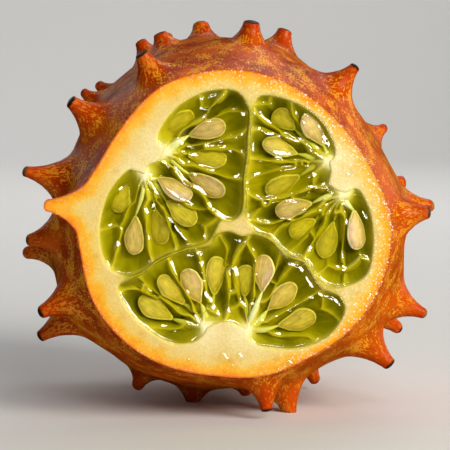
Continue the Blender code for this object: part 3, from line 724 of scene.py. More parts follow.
# How the wall of a lobe closes behind the jelly: depth, and size against the lobe's mouth.
POCKET_RINGS = ((12.0, 1.0), (30.0, 1.0), (44.0, 0.9), (54.0, 0.66), (60.0, 0.35))
VEIN_INSET, VEIN_RING_EVERY = 3.6, 12
VEIN_COUNT, VEIN_UNEVEN, VEIN_SHIFT = 26, 0.3, 0.6
VEIN_SIZE, VEIN_SIZES, VEIN_STRENGTH = 0.75, (0.6, 1.3), (0.3, 0.8)
ROOT_GLOW, ROOT_STRENGTH = 4.5, 1.4

rim_loop = rim_points[:, [0, 2]]
outlines = {side: inset(smooth_loop(lobe["outline"], OUTLINE_STEP), -WALL_THINNED)
            for side, lobe in LOBES.items()}
flat = [rim_loop]
level = [np.zeros(len(rim_loop))]
loops = [list(range(len(rim_loop)))]
for outline in outlines.values():
    for distance, depth in LIP:
        flat.append(inset(outline, distance))
        level.append(np.full(len(outline), depth + FLESH_LEVEL))
    end = sum(len(part) for part in flat)
    loops.append(list(range(end - len(outline), end)))
spots = dots(rim_loop, FLESH_SPACING)
keep = inside(spots, rim_loop)
keep &= distance_to_loop(spots, rim_loop) > FLESH_SPACING * EDGE_ROOM
for outline in outlines.values():
    keep &= ~inside(spots, inset(outline, LIP[0][0] - FLESH_SPACING * LOBE_ROOM))
spots = spots[keep]
flat = np.concatenate(flat + [spots])
from_peel = distance_to_loop(flat, rim_loop)
level = np.concatenate(level + [np.full(len(spots), FLESH_LEVEL)])
level = np.where(from_peel < RIM_TOUCH, 0.0, level)
to_lobes = np.sort([distance_to_loop(flat, loop) for loop in outlines.values()], axis=0)
thinness = np.clip((THICK_WALL - to_lobes[0] - to_lobes[1]) / (THICK_WALL - THIN_WALL), 0, 1)
flesh_faces = triangulate(flat, loops)
middles = flat[flesh_faces].mean(axis=1)
hollow = np.zeros(len(middles), dtype=bool)
for outline in outlines.values():
    hollow |= inside(middles, inset(outline, LIP[-1][0] + HOLLOW_ROOM))
flesh_faces = flesh_faces[~hollow]

chance = random.Random(8)
veins = np.zeros(len(flat))
vein_ring = inset(smooth_loop(rim_loop[::VEIN_RING_EVERY], OUTLINE_STEP), VEIN_INSET)
for number in range(VEIN_COUNT):
    turn = number + chance.uniform(-VEIN_UNEVEN, VEIN_UNEVEN)
    pick = int(turn / VEIN_COUNT * len(vein_ring))
    shift = [chance.uniform(-VEIN_SHIFT, VEIN_SHIFT) for _ in range(2)]
    spot = vein_ring[pick % len(vein_ring)] + shift
    size = VEIN_SIZE * chance.uniform(*VEIN_SIZES)
    near = bell(np.linalg.norm(flat - spot, axis=1), size)
    veins = np.maximum(veins, near * chance.uniform(*VEIN_STRENGTH))
from_roots = np.min([np.linalg.norm(flat - root, axis=1)
                     for lobe in LOBES.values() for root in lobe["roots"]], axis=0)

flesh_points = at_depth(flat, level)
walls, wall_faces = [], []
for loop in loops[1:]:
    mouth = flat[loop]
    middle = mouth.mean(axis=0)
    before = np.array(loop)
    for depth, size in POCKET_RINGS:
        ring = middle * (1 + size) / 2 + (mouth - middle) * size
        after = len(flesh_points) + sum(len(wall) for wall in walls) + np.arange(len(ring))
        walls.append(at_depth(ring, depth))
        wall_faces += list(zip(before, np.roll(before, -1), np.roll(after, -1), after))
        before = after
    wall_faces.append(tuple(before[::-1]))
flesh_points = np.concatenate([flesh_points, *walls])
behind = np.zeros(len(flesh_points) - len(flat))
flesh = build("flesh", flesh_points, [*flesh_faces, *wall_faces], moist_flesh(), {
    "grain": flesh_points,
    "peel": np.concatenate([from_peel, behind + FAR_FROM_PEEL]),
    "jelly": np.concatenate([np.where(level > FLESH_LEVEL + LIP_FACE, 0.0, to_lobes[0]),
                             behind]),
    # deep: painted shade in the pockets, growing with depth behind the cut.
    "deep": np.clip((flesh_points[:, 1] - DEEP_START) / DEEP_RANGE, 0, 1),
    "vein": np.concatenate([veins, behind]),
    "thin": np.concatenate([thinness, behind]),
    "root": np.concatenate([ROOT_STRENGTH * bell(from_roots, ROOT_GLOW), behind]),
})
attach(flesh, "root")
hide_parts("rind")


# ------------------------------------------------------------------------------ jelly
# Each lobe is packed with clear sacs of jelly, one round each seed, pressed against each other
# so that only a thin skin shows between two. Here a lobe is a bed of sac walls and deep jelly,
# painted darker where the jelly is thick and lighter, as glow, where it is thin, with one
# clear body over it whose front bulges sac by sac.

BED_SPACING, CLEAR_SPACING = 0.22, 0.3
BED_DEPTH = 3.6
BED_BOWL, BOWL_WIDTH = 0.7, 1.4
BED_WAVE_SIZE, BED_WAVE_HEIGHT = 2.5, 0.4
WALL_DEPTH, WALL_WIDTH, WALL_SHARPNESS = 1.15, 0.34, 1.4
EDGE_DEPTH, EDGE_WIDTH = 0.5, 1.3
KNOT_SIZE, KNOT_TOP = 2.2, 0.25
WALL_LEAST, ROOT_WALL = 0.45, 1.1
ROOT_LIGHT = 2.5
TONES = (-0.1, 0.3)
# How strongly the marks of the bed show near these places. At the lobe's edge and near a root,
# the wall mark is painted glow, where light soaks through thin jelly.
GLOW_AT_EDGE, GLOW_AT_ROOT, WALL_AT_KNOT = 0.5, 0.5, 0.4
ROOT_AT_KNOT, ROOT_AT_WALL = 0.5, 0.8
# How much lighter the jelly is painted beside the walls and near the roots, as glow where
# light soaks through thin jelly.
GLOW_BESIDE_WALL, GLOW_NEAR_ROOT = 0.3, 0.4
FAN_TURN, FAN_STRETCH, FAN_APART = 9.0, 0.12, 5.0
SAC_REACH = 1.08
SAC_WANDER_SIZE, SAC_WANDER = 7.0, 0.8
SEED_ROOM = 1.7
NARROW = 0.3

SAC_TOP = (0.35, 0.7)
CREASE_DEPTH, CREASE_WIDTH = 0.95, 1.6
LEDGE_RISE, LEDGE_WIDTH = 0.72, 0.55
LEDGE_MEAN, LEDGE_WAVE_SIZE, LEDGE_WAVE = 0.7, 2.4, 1.2
CLEAR_BACK, CLEAR_INSET, CLEAR_FRONT = 7.0, -0.12, 0.02
RIM_DEPTH, RIM_ROUND = 0.18, 1.3
RIM_WIDTH, RIM_BROKEN = 0.55, 0.6
GROOVE_DEPTH = 0.4
GROOVE_INSET, GROOVE_WIDTH = 0.75, 0.4
GROOVE_MEAN, GROOVE_WAVE_SIZE, GROOVE_WAVE = 0.5, 5.0, 1.6
FRONT_WAVE_SIZE, FRONT_WAVE_HEIGHT = 3.0, 0.26
STREAK_FAN, STREAK_STRETCH, STREAK_SIZE, STREAK_RISE = 10.0, 0.2, 1.7, 0.2

# Where the jelly has shrunk and wrinkled: across, up, and half width.
WRINKLES = (
    (2.6, 12.1, 1.7), (-1.1, 5.2, 1.2), (12.7, -3.0, 2.2), (6.3, -8.2, 1.8),
    (14.1, -12.1, 1.5), (20.3, -16.4, 1.8), (25.6, -8.6, 1.6), (24.2, -1.6, 1.3),
    (-6.1, 0.2, 1.3), (-2.0, 16.2, 1.9), (-11.2, 18.4, 1.3), (-3.8, 25.6, 1.9),
    (13.0, 3.6, 2.0), (-22.0, 8.0, 1.8), (-25.4, -3.6, 1.4), (7.2, 24.6, 1.2),
    (-7.6, -11.0, 1.2), (18.0, 17.8, 1.4), (10.4, 0.4, 1.6),
)
WRINKLE_SIZE, WRINKLE_RISE, WRINKLE_STRETCH = 1.2, 0.4, 0.35
WRINKLE_RUN, WRINKLE_LEAN = (0.5, 0.87), (0.87, -0.5)


def distance_and_way(points, start, end):
    """How far a run is from each point, and the unit way from the run to the point."""
    run = end - start
    share = np.clip((points - start) @ run / (run @ run), 0, 1)
    offset = points - start - share[:, None] * run
    distance = np.maximum(np.linalg.norm(offset, axis=1), 1e-9)
    return distance, offset / distance[:, None]


def flat_waves(points, size, height, seed):
    """Unevenness over points that have no depth yet."""
    return waves(np.c_[points, np.zeros(len(points))], size, height, seed)


def lobe_sacs(lobe, points, seed):
    """For each point: the nearest sac, the next one, how far their shared wall is, and the
    number of the root that the nearest sac grows from. Then the root of every sac."""
    wander = [flat_waves(points, SAC_WANDER_SIZE, SAC_WANDER, seed + 9 * axis)
              for axis in (0, 1)]
    moved = points + np.stack(wander, axis=1)
    sacs = [(root, 0.0, end) for root, _, end, _ in lobe["seeds"]] + list(lobe["bare"])
    reach, toward = [], []
    for root, begin, end in sacs:
        start = np.array(lobe["roots"][root])
        run = np.array(end) - start
        distance, way = distance_and_way(moved, start + run * begin, start + run * SAC_REACH)
        reach.append(distance)
        toward.append(way)
    for number, (_, start, end, _) in enumerate(lobe["seeds"]):
        distance, way = distance_and_way(points, np.array(start), np.array(end))
        closer = distance - SEED_ROOM < reach[number]
        reach[number] = np.where(closer, distance - SEED_ROOM, reach[number])
        toward[number] = np.where(closer[:, None], way, toward[number])
    reach, toward = np.array(reach), np.array(toward)
    first, second = np.argsort(reach, axis=0)[:2]
    columns = np.arange(len(points))
    apart = np.linalg.norm(toward[second, columns] - toward[first, columns], axis=1)
    gap = (reach[second, columns] - reach[first, columns]) / np.clip(apart, NARROW, 2)
    roots = np.array([root for root, _, _ in sacs])
    return first, second, gap, roots


def wall_strength(roots, first, second, seed):
    """Walls between the two fans are stout. The others vary from pair to pair, by a share
    that is drawn from the two sacs' numbers."""
    low, high = np.minimum(first, second), np.maximum(first, second)
    share = np.modf(abs(np.sin(low * 12.9 + high * 78.2 + seed) * 437.5))[0]
    varied = WALL_LEAST + (1 - WALL_LEAST) * share
    return np.where(roots[first] != roots[second], ROOT_WALL, varied)


def in_fan(spoke, owner, turn, stretch):
    """Where points lie in their fan, by their spoke from its root: round the root, out from
    it, and far apart for the two roots."""
    angle = np.arctan2(spoke[:, 1], spoke[:, 0])
    length = np.linalg.norm(spoke, axis=1)
    return np.stack([angle * turn, length * stretch, owner * FAN_APART], axis=1)


def rounded(distance, width):
    """One at an edge, falling to nought a width away, as a quarter of a round does."""
    return 1 - np.sqrt(1 - (1 - np.clip(distance / width, 0, 1)) ** 2)


def heightfield(loop, spacing):
    """A loop's corners and evenly staggered points inside it, with their triangles."""
    spots = dots(loop, spacing)
    spots = spots[inside(spots, loop) & (distance_to_loop(spots, loop) > spacing * EDGE_ROOM)]
    flat = np.concatenate([loop, spots])
    return flat, triangulate(flat, [list(range(len(loop)))])


CLOUD_SIZE = 5.0


def deep_jelly():
    """Deep jelly and sac walls, with their light and dark painted in: dark olive in the thick
    of a sac, where little light comes back, and yellow-green along the thin walls, which are
    also of that colour themselves, and in the narrow ends of the fans. It is painted lighter
    still beside the walls, near the roots and at the lobe's edge, as glow where light soaks
    through thin jelly. It is lit evenly, as jelly that light soaks through is."""
    material, shader, add = new_material("deep_jelly")
    wall, tone, root = (add("Attribute", attribute_name=mark).outputs["Fac"]
                        for mark in ("wall", "tone", "root"))
    fan, where = (add("Attribute", attribute_name=mark).outputs["Vector"]
                  for mark in ("fan", "grain"))
    cloud = add("TexNoise", {"Vector": where, "Scale": 1 / CLOUD_SIZE, "Detail": 2.0})
    threads = add("TexNoise", {"Vector": fan, "Scale": 1.0, "Detail": 3.0, "Roughness": 0.6})
    murk = add("Math", {0: cloud, 1: 0.55, 2: tone}, operation="MULTIPLY_ADD")
    murky = add("Math", {0: threads, 1: 0.5, 2: murk}, operation="MULTIPLY_ADD")
    shade = add("ValToRGB", {"Fac": murky},
                ramp=((0.35, "504e10"), (0.6, "7a7612"), (0.8, "a49c1e"), (1.0, "c6b634")))
    for share, tint in ((wall, "dccb44"), (root, "f6f0bc")):
        shade = add("Mix", {0: share, 6: shade, 7: tint}, data_type="RGBA")
    facing = add("NewGeometry").outputs["Normal"]
    eased = add("VectorMath", {0: facing, 1: (0.6, 0.6, 0.6), 2: (0.0, -0.4, 0.0)},
                operation="MULTIPLY_ADD")
    even = add("VectorMath", {0: eased}, operation="NORMALIZE")
    plug(shader, {"Base Color": shade, "Normal": even, "Roughness": 0.5, "IOR": 1.36,
                  "Specular IOR Level": 0.1})
    return material


def let_light_through(clear, tint, thin=0.0):
    """Let soft light and shadow rays pass a clear body straight, with a tint, and all rays
    where it is thin, so that what lies inside is lit as through water."""
    add = partial(node, clear.id_data)
    path = add("LightPath").outputs
    soft = add("Math", {0: path["Is Shadow Ray"], 1: path["Is Diffuse Ray"]},
               operation="MAXIMUM")
    share = add("Math", {0: soft, 1: thin}, operation="MAXIMUM")
    straight = add("BsdfTransparent", {"Color": tint})
    mixed = add("MixShader", {0: share, 1: clear, 2: straight})
    plug(clear.id_data.nodes["Material Output"], {"Surface": mixed})


CLEAR_AND_WET = {"Transmission Weight": 1.0, "Roughness": 0.02, "Coat Weight": 1.0,
                 "Coat Roughness": 0.02, "Coat IOR": 1.9}
RIPPLE_SIZE = 1.3


def clear_jelly():
    """Clear jelly: water-clear with a green-yellow cast, wet and mirror smooth. It fades out
    at its rim, where it is too thin to bend or tint what lies under it."""
    material, shader, add = new_material("clear_jelly")
    where = add("Attribute", attribute_name="grain").outputs["Vector"]
    rim = add("Attribute", attribute_name="rim").outputs["Fac"]
    ripple = add("TexNoise", {"Vector": where, "Scale": 1 / RIPPLE_SIZE, "Detail": 2.0})
    bump = add("Bump", {"Height": ripple, "Strength": 0.16, "Distance": 0.0003})
    plug(shader, {"Base Color": "fdfef4", "IOR": 1.38, "Normal": bump,
                  "Coat Normal": bump, **CLEAR_AND_WET})
    let_light_through(shader, "fdfde8", rim)
    cast = add("VolumeAbsorption", {"Color": "f3f300", "Density": 520.0})
    plug(shader.id_data.nodes["Material Output"], {"Volume": cast})
    return material


bed_finish = deep_jelly()
clear_finish = clear_jelly()
for number, (side, lobe) in enumerate(LOBES.items()):
    outline = outlines[side]
    lobe_roots = np.array(lobe["roots"])
    seed = 3.7 * (number + 1)
    chance = random.Random(20 + number)
    sacs = len(lobe["seeds"]) + len(lobe["bare"])
    tones = np.array([chance.uniform(*TONES) for _ in range(sacs)])
    tops = np.array([chance.uniform(*SAC_TOP) for _ in range(sacs)])

    flat, faces = heightfield(outline, BED_SPACING)
    first, second, gap, root_of = lobe_sacs(lobe, flat, seed)
    strength = np.minimum(wall_strength(root_of, first, second, seed), 1.0)
    wall = np.exp(-((gap / WALL_WIDTH) ** WALL_SHARPNESS)) * strength
    bowl = np.exp(-gap / BOWL_WIDTH)
    edge = np.exp(-distance_to_loop(flat, outline) / EDGE_WIDTH)
    owner = root_of[first]
    spoke = flat - lobe_roots[owner]
    length = np.linalg.norm(spoke, axis=1)
    knot = bell(length, KNOT_SIZE)
    depth = BED_DEPTH - BED_BOWL * bowl
    depth += flat_waves(flat, BED_WAVE_SIZE, BED_WAVE_HEIGHT, seed)
    for level, share in ((WALL_DEPTH, wall), (EDGE_DEPTH, edge), (KNOT_TOP, knot)):
        depth += (level - depth) * share
    points = at_depth(flat, depth)
    near_root = np.exp(-length / ROOT_LIGHT)
    # The wall mark is the sac walls' own yellow-green and the knot's pale tissue, with painted
    # glow added at the lobe's edge and round the roots. The tone is painted lighter beside the
    # walls and near the roots in the same way.
    glow = wall + edge**2 * GLOW_AT_EDGE + near_root * GLOW_AT_ROOT + knot * WALL_AT_KNOT
    tone = tones[first] * (1 - bowl) + GLOW_BESIDE_WALL * bowl + near_root * GLOW_NEAR_ROOT
    bed = build("jelly_bed_" + side, points, faces, bed_finish, {
        "grain": points,
        "wall": np.clip(glow, 0, 1),
        "root": np.clip(knot * ROOT_AT_KNOT + near_root * wall * ROOT_AT_WALL, 0, 1),
        "tone": tone,
        "fan": in_fan(spoke, owner, FAN_TURN, FAN_STRETCH),
    })

    loop = inset(outline, CLEAR_INSET)
    flat, faces = heightfield(loop, CLEAR_SPACING)
    first, second, gap, root_of = lobe_sacs(lobe, flat, seed)
    from_edge = distance_to_loop(flat, loop)
    depth = tops[first] + (CREASE_DEPTH - tops[first]) * rounded(gap, CREASE_WIDTH)
    strength = wall_strength(root_of, first, second, seed)
    uneven = LEDGE_MEAN + flat_waves(flat, LEDGE_WAVE_SIZE, LEDGE_WAVE, seed + 2)
    ledge = bell(gap, LEDGE_WIDTH) * np.clip(strength * uneven, 0, 1)
    depth -= LEDGE_RISE * ledge
    close = rounded(from_edge, RIM_ROUND)
    depth = depth * (1 - close) + RIM_DEPTH * close
    broken = GROOVE_MEAN + flat_waves(flat, GROOVE_WAVE_SIZE, GROOVE_WAVE, seed + 8)
    broken = np.clip(broken, 0, 1)
    depth += GROOVE_DEPTH * broken * bell(from_edge - GROOVE_INSET, GROOVE_WIDTH)
    owner = root_of[first]
    along = in_fan(flat - lobe_roots[owner], owner, STREAK_FAN, STREAK_STRETCH)
    depth += flat_waves(flat, FRONT_WAVE_SIZE, FRONT_WAVE_HEIGHT, seed + 4) * (1 - close)
    depth += waves(along, STREAK_SIZE, STREAK_RISE, seed + 6) * (1 - close)
    wrinkled = np.max([bell(np.linalg.norm(flat - [x, z], axis=1), size)
                       for x, z, size in WRINKLES], axis=0)
    folds = np.stack([flat @ WRINKLE_RUN * WRINKLE_STRETCH, flat @ WRINKLE_LEAN], axis=1)
    depth += flat_waves(folds, WRINKLE_SIZE, WRINKLE_RISE, seed + 12) * wrinkled
    points = at_depth(flat, np.maximum(depth, CLEAR_FRONT))

    count, start = len(loop), len(points)
    x, z = loop.mean(axis=0)
    back = at_depth(loop, CLEAR_BACK)
    points = np.concatenate([points, back, [[x, CLEAR_BACK, z]]])
    sides = []
    for i in range(count):
        j = (i + 1) % count
        sides += [(i, start + i, start + j), (i, start + j, j),
                  (start + i, start + count, start + j)]
    rim = np.ones(len(points))
    rim[:start] = bell(from_edge, RIM_WIDTH) * (1 - RIM_BROKEN * broken)
    clear = build("jelly_clear_" + side, points, [*faces, *sides], clear_finish, {
        "grain": points,
        "rim": rim,
    })
    for piece in (bed, clear):
        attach(piece, "root")
        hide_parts("jelly_" + side)


# ------------------------------------------------------------------------------ seeds
# Flat seeds with a smooth firm coat, each held by a watery stalk that joins its pointed end
# and grows from one of its lobe's two roots. Those near the cut look cream, and those deeper
# in the jelly are painted with its yellow-green, as the tint of the jelly that lies over them.

SEED_WIDTH, SEED_WIDTHS = 4.3, (0.92, 1.06)
SEED_THICKNESS = 1.2
SEED_FULLEST = 0.62
SEED_TIP = 0.17
SEED_TAPER = 1.15
SEED_ROLL = 0.3
SEED_RIM = 1.5
# How far the pointed and the round end may stray from the seed's depth.
POINT_STRAYS, ROUND_STRAYS = (-0.2, 0.4), (-0.3, 0.3)
# The first ring's turn, the share of the length where the point rounds off, how square a
# section is, how much thinner it is in its middle, and how fast the ends thicken.
SEED_FIRST_TURN, SEED_POINT = 0.03, 0.02
SEED_SQUARE, SEED_HOLLOW, SEED_THICKENS = 0.8, 0.28, 0.6
FIBRE_STRETCH, FIBRE_SHIFT = 0.2, 9
# Waviness of a seed's two edges: how fast along the seed, and how high.
SEED_WAVER, SEED_RIPPLE = (7, 0.06), (17, 0.015)
SEED_STATIONS, SEED_SIDES = 26, 24
# Seeds and stalks deeper than NEAR_DEPTH are painted with the tint of the jelly over them,
# fully over DEPTH_RANGE, the seeds GREENING times as fast.
NEAR_DEPTH, DEPTH_RANGE, GREENING = 1.7, 1.1, 1.2
STALK_STATIONS, STALK_SIDES = 12, 8
STALK_THIN, STALK_PLUMP, STALK_FULL = 0.14, 0.24, 5.0
STALK_VARIES, STALK_FULLEST = 0.3, 0.8
ROOT_STRAYS = (-0.4, 0.2)
STALK_WIDE, STALK_FLAT = 1.25, 0.8
STALK_BEND, STALK_RISE = 0.5, 0.6


def tube_sides(rings, sides):
    """Four-sided faces between rings of corners that follow each other."""
    return [(ring * sides + index, ring * sides + (index + 1) % sides,
             (ring + 1) * sides + (index + 1) % sides, (ring + 1) * sides + index)
            for ring in range(rings - 1) for index in range(sides)]


def tube_faces(rings, sides):
    """The same, closed at both ends."""
    ends = [tuple(reversed(range(sides))), tuple(range((rings - 1) * sides, rings * sides))]
    return tube_sides(rings, sides) + ends


def seed_form(start, end, depth, chance):
    """One seed's rings of points, how far each lies from the seed's own outline, where each
    lies along its fibres, and the seed's pointed end."""
    start = np.array([start[0], depth + chance.uniform(*POINT_STRAYS), start[1]])
    end = np.array([end[0], depth + chance.uniform(*ROUND_STRAYS), end[1]])
    run = end - start
    length = np.linalg.norm(run)
    run /= length
    across = np.cross(run, [0, 1, 0])
    across /= np.linalg.norm(across)
    front = np.cross(across, run)
    roll = chance.uniform(-SEED_ROLL, SEED_ROLL)
    across, front = (across * math.cos(roll) + front * math.sin(roll),
                     front * math.cos(roll) - across * math.sin(roll))
    width = SEED_WIDTH / 2 * chance.uniform(*SEED_WIDTHS)
    t = np.linspace(SEED_FIRST_TURN, math.pi - SEED_FIRST_TURN, SEED_STATIONS)
    t = (1 - np.cos(t)) / 2
    swelling = np.sin(np.minimum(t / SEED_FULLEST, 1) * math.pi / 2) ** SEED_TAPER
    past = np.maximum(t - SEED_FULLEST, 0) / (1 - SEED_FULLEST)
    size = (SEED_TIP + (1 - SEED_TIP) * swelling) * np.sqrt(1 - past**2)
    size *= np.minimum(1, np.sqrt(t / SEED_POINT))
    turn = turns(SEED_SIDES)
    wide = np.cos(turn)
    thick = np.sign(np.sin(turn)) * np.abs(np.sin(turn)) ** SEED_SQUARE
    thick *= 1 - SEED_HOLLOW + SEED_HOLLOW * wide**2
    phase = [chance.uniform(0, 2 * math.pi) for _ in range(4)]
    points, edge, fibre = [], [], []
    for share, scale in zip(t, size):
        uneven = [1 + SEED_WAVER[1] * math.sin(SEED_WAVER[0] * share + phase[side])
                  + SEED_RIPPLE[1] * math.sin(SEED_RIPPLE[0] * share + phase[side + 2])
                  for side in (0, 1)]
        reach = wide * width * scale * np.where(wide > 0, *uneven)
        ring = start + run * length * share + np.outer(reach, across)
        ring += np.outer(thick * SEED_THICKNESS / 2 * scale**SEED_THICKENS, front)
        points.append(ring)
        ends = min(share, 1 - share) * length
        edge.append(np.minimum(width * scale * (1 - np.abs(wide)), ends))
        fibre.append(np.stack([reach, np.full(len(reach), share * length * FIBRE_STRETCH),
                               np.full(len(reach), phase[0] * FIBRE_SHIFT)], axis=1))
    return np.concatenate(points), np.concatenate(edge), np.concatenate(fibre), start


def stalk_form(root, tip, chance):
    """One stalk, slim at both ends."""
    plump = STALK_PLUMP + chance.uniform(0, STALK_VARIES)
    root = np.array([root[0], tip[1] + chance.uniform(*ROOT_STRAYS), root[1]])
    t = np.linspace(0, 1, STALK_STATIONS)[:, None]
    run = tip - root
    plump *= min(1, np.linalg.norm(run) / STALK_FULL)
    side = np.cross(run, [0, 1, 0])
    side /= np.linalg.norm(side)
    bend = np.sin(t * math.pi)
    middle = root + run * t + side * bend * chance.uniform(-STALK_BEND, STALK_BEND)
    middle[:, 1] += (bend * chance.uniform(-STALK_RISE, 0.0))[:, 0]
    turn = turns(STALK_SIDES)
    points = []
    for share, centre in zip(t[:, 0], middle):
        radius = STALK_THIN + plump * math.sin(math.pi * share**STALK_FULLEST)
        ring = centre + np.outer(np.cos(turn) * radius * STALK_WIDE, side)
        points.append(ring + np.outer(np.sin(turn) * radius * STALK_FLAT, [0, 1, 0]))
    return np.concatenate(points)


# Widths of the seeds' patterns, in millimetres. Real fibres are a tenth of one wide, too
# fine to show, so they are drawn coarser.
MOTTLE_SIZE, FIBRE_SIZE, FOLD_SIZE = 1.6, 0.3, 2.0


def seed_coat():
    """Seed coat: smooth and cream, faintly streaked, with thin lines of painted shade along
    its folds, and a thin paler margin with a darker line inside it. Sunk deeper, it is painted
    with a margin and a middle of its own in the jelly's yellow-green, as the tint of the jelly
    over it. A film of jelly keeps it glossy."""
    material, shader, add = new_material("seed_coat")
    edge, sunk, pale = (add("Attribute", attribute_name=mark).outputs["Fac"]
                        for mark in ("edge", "sunk", "pale"))
    where, along = (add("Attribute", attribute_name=mark).outputs["Vector"]
                    for mark in ("grain", "fibre"))
    inward = add("Math", {0: edge, 1: SEED_RIM}, operation="DIVIDE")
    cream = add("ValToRGB", {"Fac": inward},
                ramp=((0.0, "f8eedf"), (0.14, "eedfcc"), (0.28, "c6a098"), (0.5, "dab8b0"),
                      (1.0, "e8cac4")))
    # Painted tint of the jelly that lies over a sunk seed.
    jelly_tinted = add("ValToRGB", {"Fac": inward},
                  ramp=((0.0, "f2eab4"), (0.16, "e6d9a0"), (0.3, "b5a262"), (0.55, "ccb878"),
                        (1.0, "dac88a")))
    coat = add("Mix", {0: sunk, 6: cream, 7: jelly_tinted}, data_type="RGBA")
    mottle = add("TexNoise", {"Vector": where, "Scale": 1 / MOTTLE_SIZE, "Detail": 5.0})
    fibres = add("TexNoise", {"Vector": along, "Scale": 1 / FIBRE_SIZE, "Detail": 3.0})
    cloudy = add("Math", {0: fibres, 1: mottle}, operation="ADD")
    light = add("MapRange", {"Value": cloudy, "From Min": 0.75, "From Max": 1.2,
                             "To Min": 0.76, "To Max": 1.08})
    folds = add("TexNoise", {"Vector": along, "Scale": 1 / FOLD_SIZE, "Detail": 1.0,
                             "Distortion": 0.4})
    # Painted shade: a thin darker line along each fold of the coat.
    off_line = add("Math", {0: folds, 1: 0.52}, operation="SUBTRACT")
    beside = add("Math", {0: off_line}, operation="ABSOLUTE")
    fold_shade = add("MapRange", {"Value": beside, "From Max": 0.035, "To Min": 0.8})
    for share in (fold_shade, pale):
        light = add("Math", {0: light, 1: share}, operation="MULTIPLY")
    streaked = add("HueSaturation", {"Color": coat, "Value": light})
    bump = add("Bump", {"Height": fibres, "Strength": 0.4, "Distance": 0.0001})
    plug(shader, {"Base Color": streaked, "Normal": bump, "Roughness": 0.38, "IOR": 1.4})
    return material


STALK_MOTTLE = 0.5


def stalk_flesh():
    """Stalk: pale watery flesh, nearly white, painted greener where it runs deep, as the tint
    of the jelly over it.
    """
    material, shader, add = new_material("stalk_flesh")
    sunk = add("Attribute", attribute_name="sunk").outputs["Fac"]
    where = add("Attribute", attribute_name="grain").outputs["Vector"]
    mottle = add("TexNoise", {"Vector": where, "Scale": 1 / STALK_MOTTLE, "Detail": 3.0})
    pale = add("ValToRGB", {"Fac": mottle}, ramp=((0.3, "e8ecc8"), (0.7, "fbfbec")))
    # Painted tint of the jelly over a deep stalk.
    tinted = add("Mix", {0: sunk, 6: pale, 7: "d2cf8c"}, data_type="RGBA")
    plug(shader, {"Base Color": tinted, "Roughness": 0.3, "IOR": 1.38})
    return material


def fuse(name, forms, faces, material):
    """Build one piece from like forms, each a set of marks that holds its points as grain."""
    marks = {mark: np.concatenate([form[mark] for form in forms]) for mark in forms[0]}
    count = len(forms[0]["grain"])
    return build(name, marks["grain"], [[number * count + corner for corner in face]
                                        for number in range(len(forms)) for face in faces],
                 material, marks)


coat_finish = seed_coat()
stalk_finish = stalk_flesh()
for number, (side, lobe) in enumerate(LOBES.items()):
    chance = random.Random(40 + number)
    seeds, stalks = [], []
    for (root, start, end, depth), pale in zip(lobe["seeds"], lobe["pale"]):
        sunk = np.clip((depth - NEAR_DEPTH) / DEPTH_RANGE, 0, 1)
        points, edge, fibre, tip = seed_form(start, end, depth, chance)
        seeds.append({"grain": points, "edge": edge, "fibre": fibre,
                      "sunk": np.full(len(points), min(1.0, sunk * GREENING)),
                      "pale": np.full(len(points), pale)})
        points = stalk_form(lobe["roots"][root], tip, chance)
        stalks.append({"grain": points, "sunk": np.full(len(points), sunk)})
    coats = fuse("seed_coats_" + side, seeds, tube_faces(SEED_STATIONS, SEED_SIDES),
                 coat_finish)
    stems = fuse("seed_stalks_" + side, stalks, tube_faces(STALK_STATIONS, STALK_SIDES),
                 stalk_finish)
    for piece in (coats, stems):
        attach(piece, "root")
        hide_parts("seeds_" + side)


# ------------------------------------------------------------------------------ juice
# Beads of juice that ran from the sacs when the fruit was cut and stand on the flesh. They
# are water-clear and low, held round by their own tension.

# Middle across and up, half width, and height.
BEADS = (
    (-2.3, -26.2, 1.25, 0.42), (0.9, -26.0, 1.0, 0.36), (-0.6, -27.9, 0.45, 0.18),
    (10.6, -27.6, 1.2, 0.36), (8.6, -28.6, 0.5, 0.2), (-9.4, -26.6, 0.45, 0.16),
    (22.6, 10.6, 0.6, 0.22), (27.2, -13.6, 0.5, 0.2),
)
BEAD_RINGS = 7
BEAD_SIDES = 26
BEAD_SUNK = 0.1
BEAD_OVAL, BEAD_LOBED = 0.16, 0.09
JUICE_RIPPLE = 0.8


def juice():
    """Juice: water-clear with the faintest yellow, and mirror smooth. As with the jelly,
    light passes it freely on the way to the flesh below."""
    material, shader, add = new_material("juice")
    where = add("Attribute", attribute_name="grain").outputs["Vector"]
    ripple = add("TexNoise", {"Vector": where, "Scale": 1 / JUICE_RIPPLE})
    bump = add("Bump", {"Height": ripple, "Strength": 0.2, "Distance": 0.0002})
    plug(shader, {"Base Color": "fffdf2", "IOR": 1.2, "Normal": bump, **CLEAR_AND_WET})
    let_light_through(shader, "fffdf2")
    return material


chance = random.Random(61)
turn = turns(BEAD_SIDES)
top = BEAD_RINGS * BEAD_SIDES
bead_faces = tube_sides(BEAD_RINGS, BEAD_SIDES)
bead_faces += [(top - BEAD_SIDES + index, top - BEAD_SIDES + (index + 1) % BEAD_SIDES, top)
               for index in range(BEAD_SIDES)]
bead_faces.append(tuple(reversed(range(BEAD_SIDES))))
bead_forms = []
for x, z, half, rise in BEADS:
    phase = chance.uniform(0, 2 * math.pi)
    rim_shape = half * (1 + BEAD_OVAL * np.sin(2 * turn + phase)
                        + BEAD_LOBED * np.sin(3 * turn - phase))
    points = []
    for ring in range(BEAD_RINGS):
        lean = math.pi / 2 * ring / BEAD_RINGS
        size = rim_shape * math.cos(lean)
        front = FLESH_LEVEL + BEAD_SUNK - (rise + BEAD_SUNK) * math.sin(lean)
        points.append(np.stack([x + size * np.cos(turn), np.full(BEAD_SIDES, front),
                                z + size * np.sin(turn)], axis=1))
    points.append([[x, FLESH_LEVEL - rise, z]])
    bead_forms.append({"grain": np.concatenate(points)})
beads = fuse("juice_beads", bead_forms, bead_faces, juice())
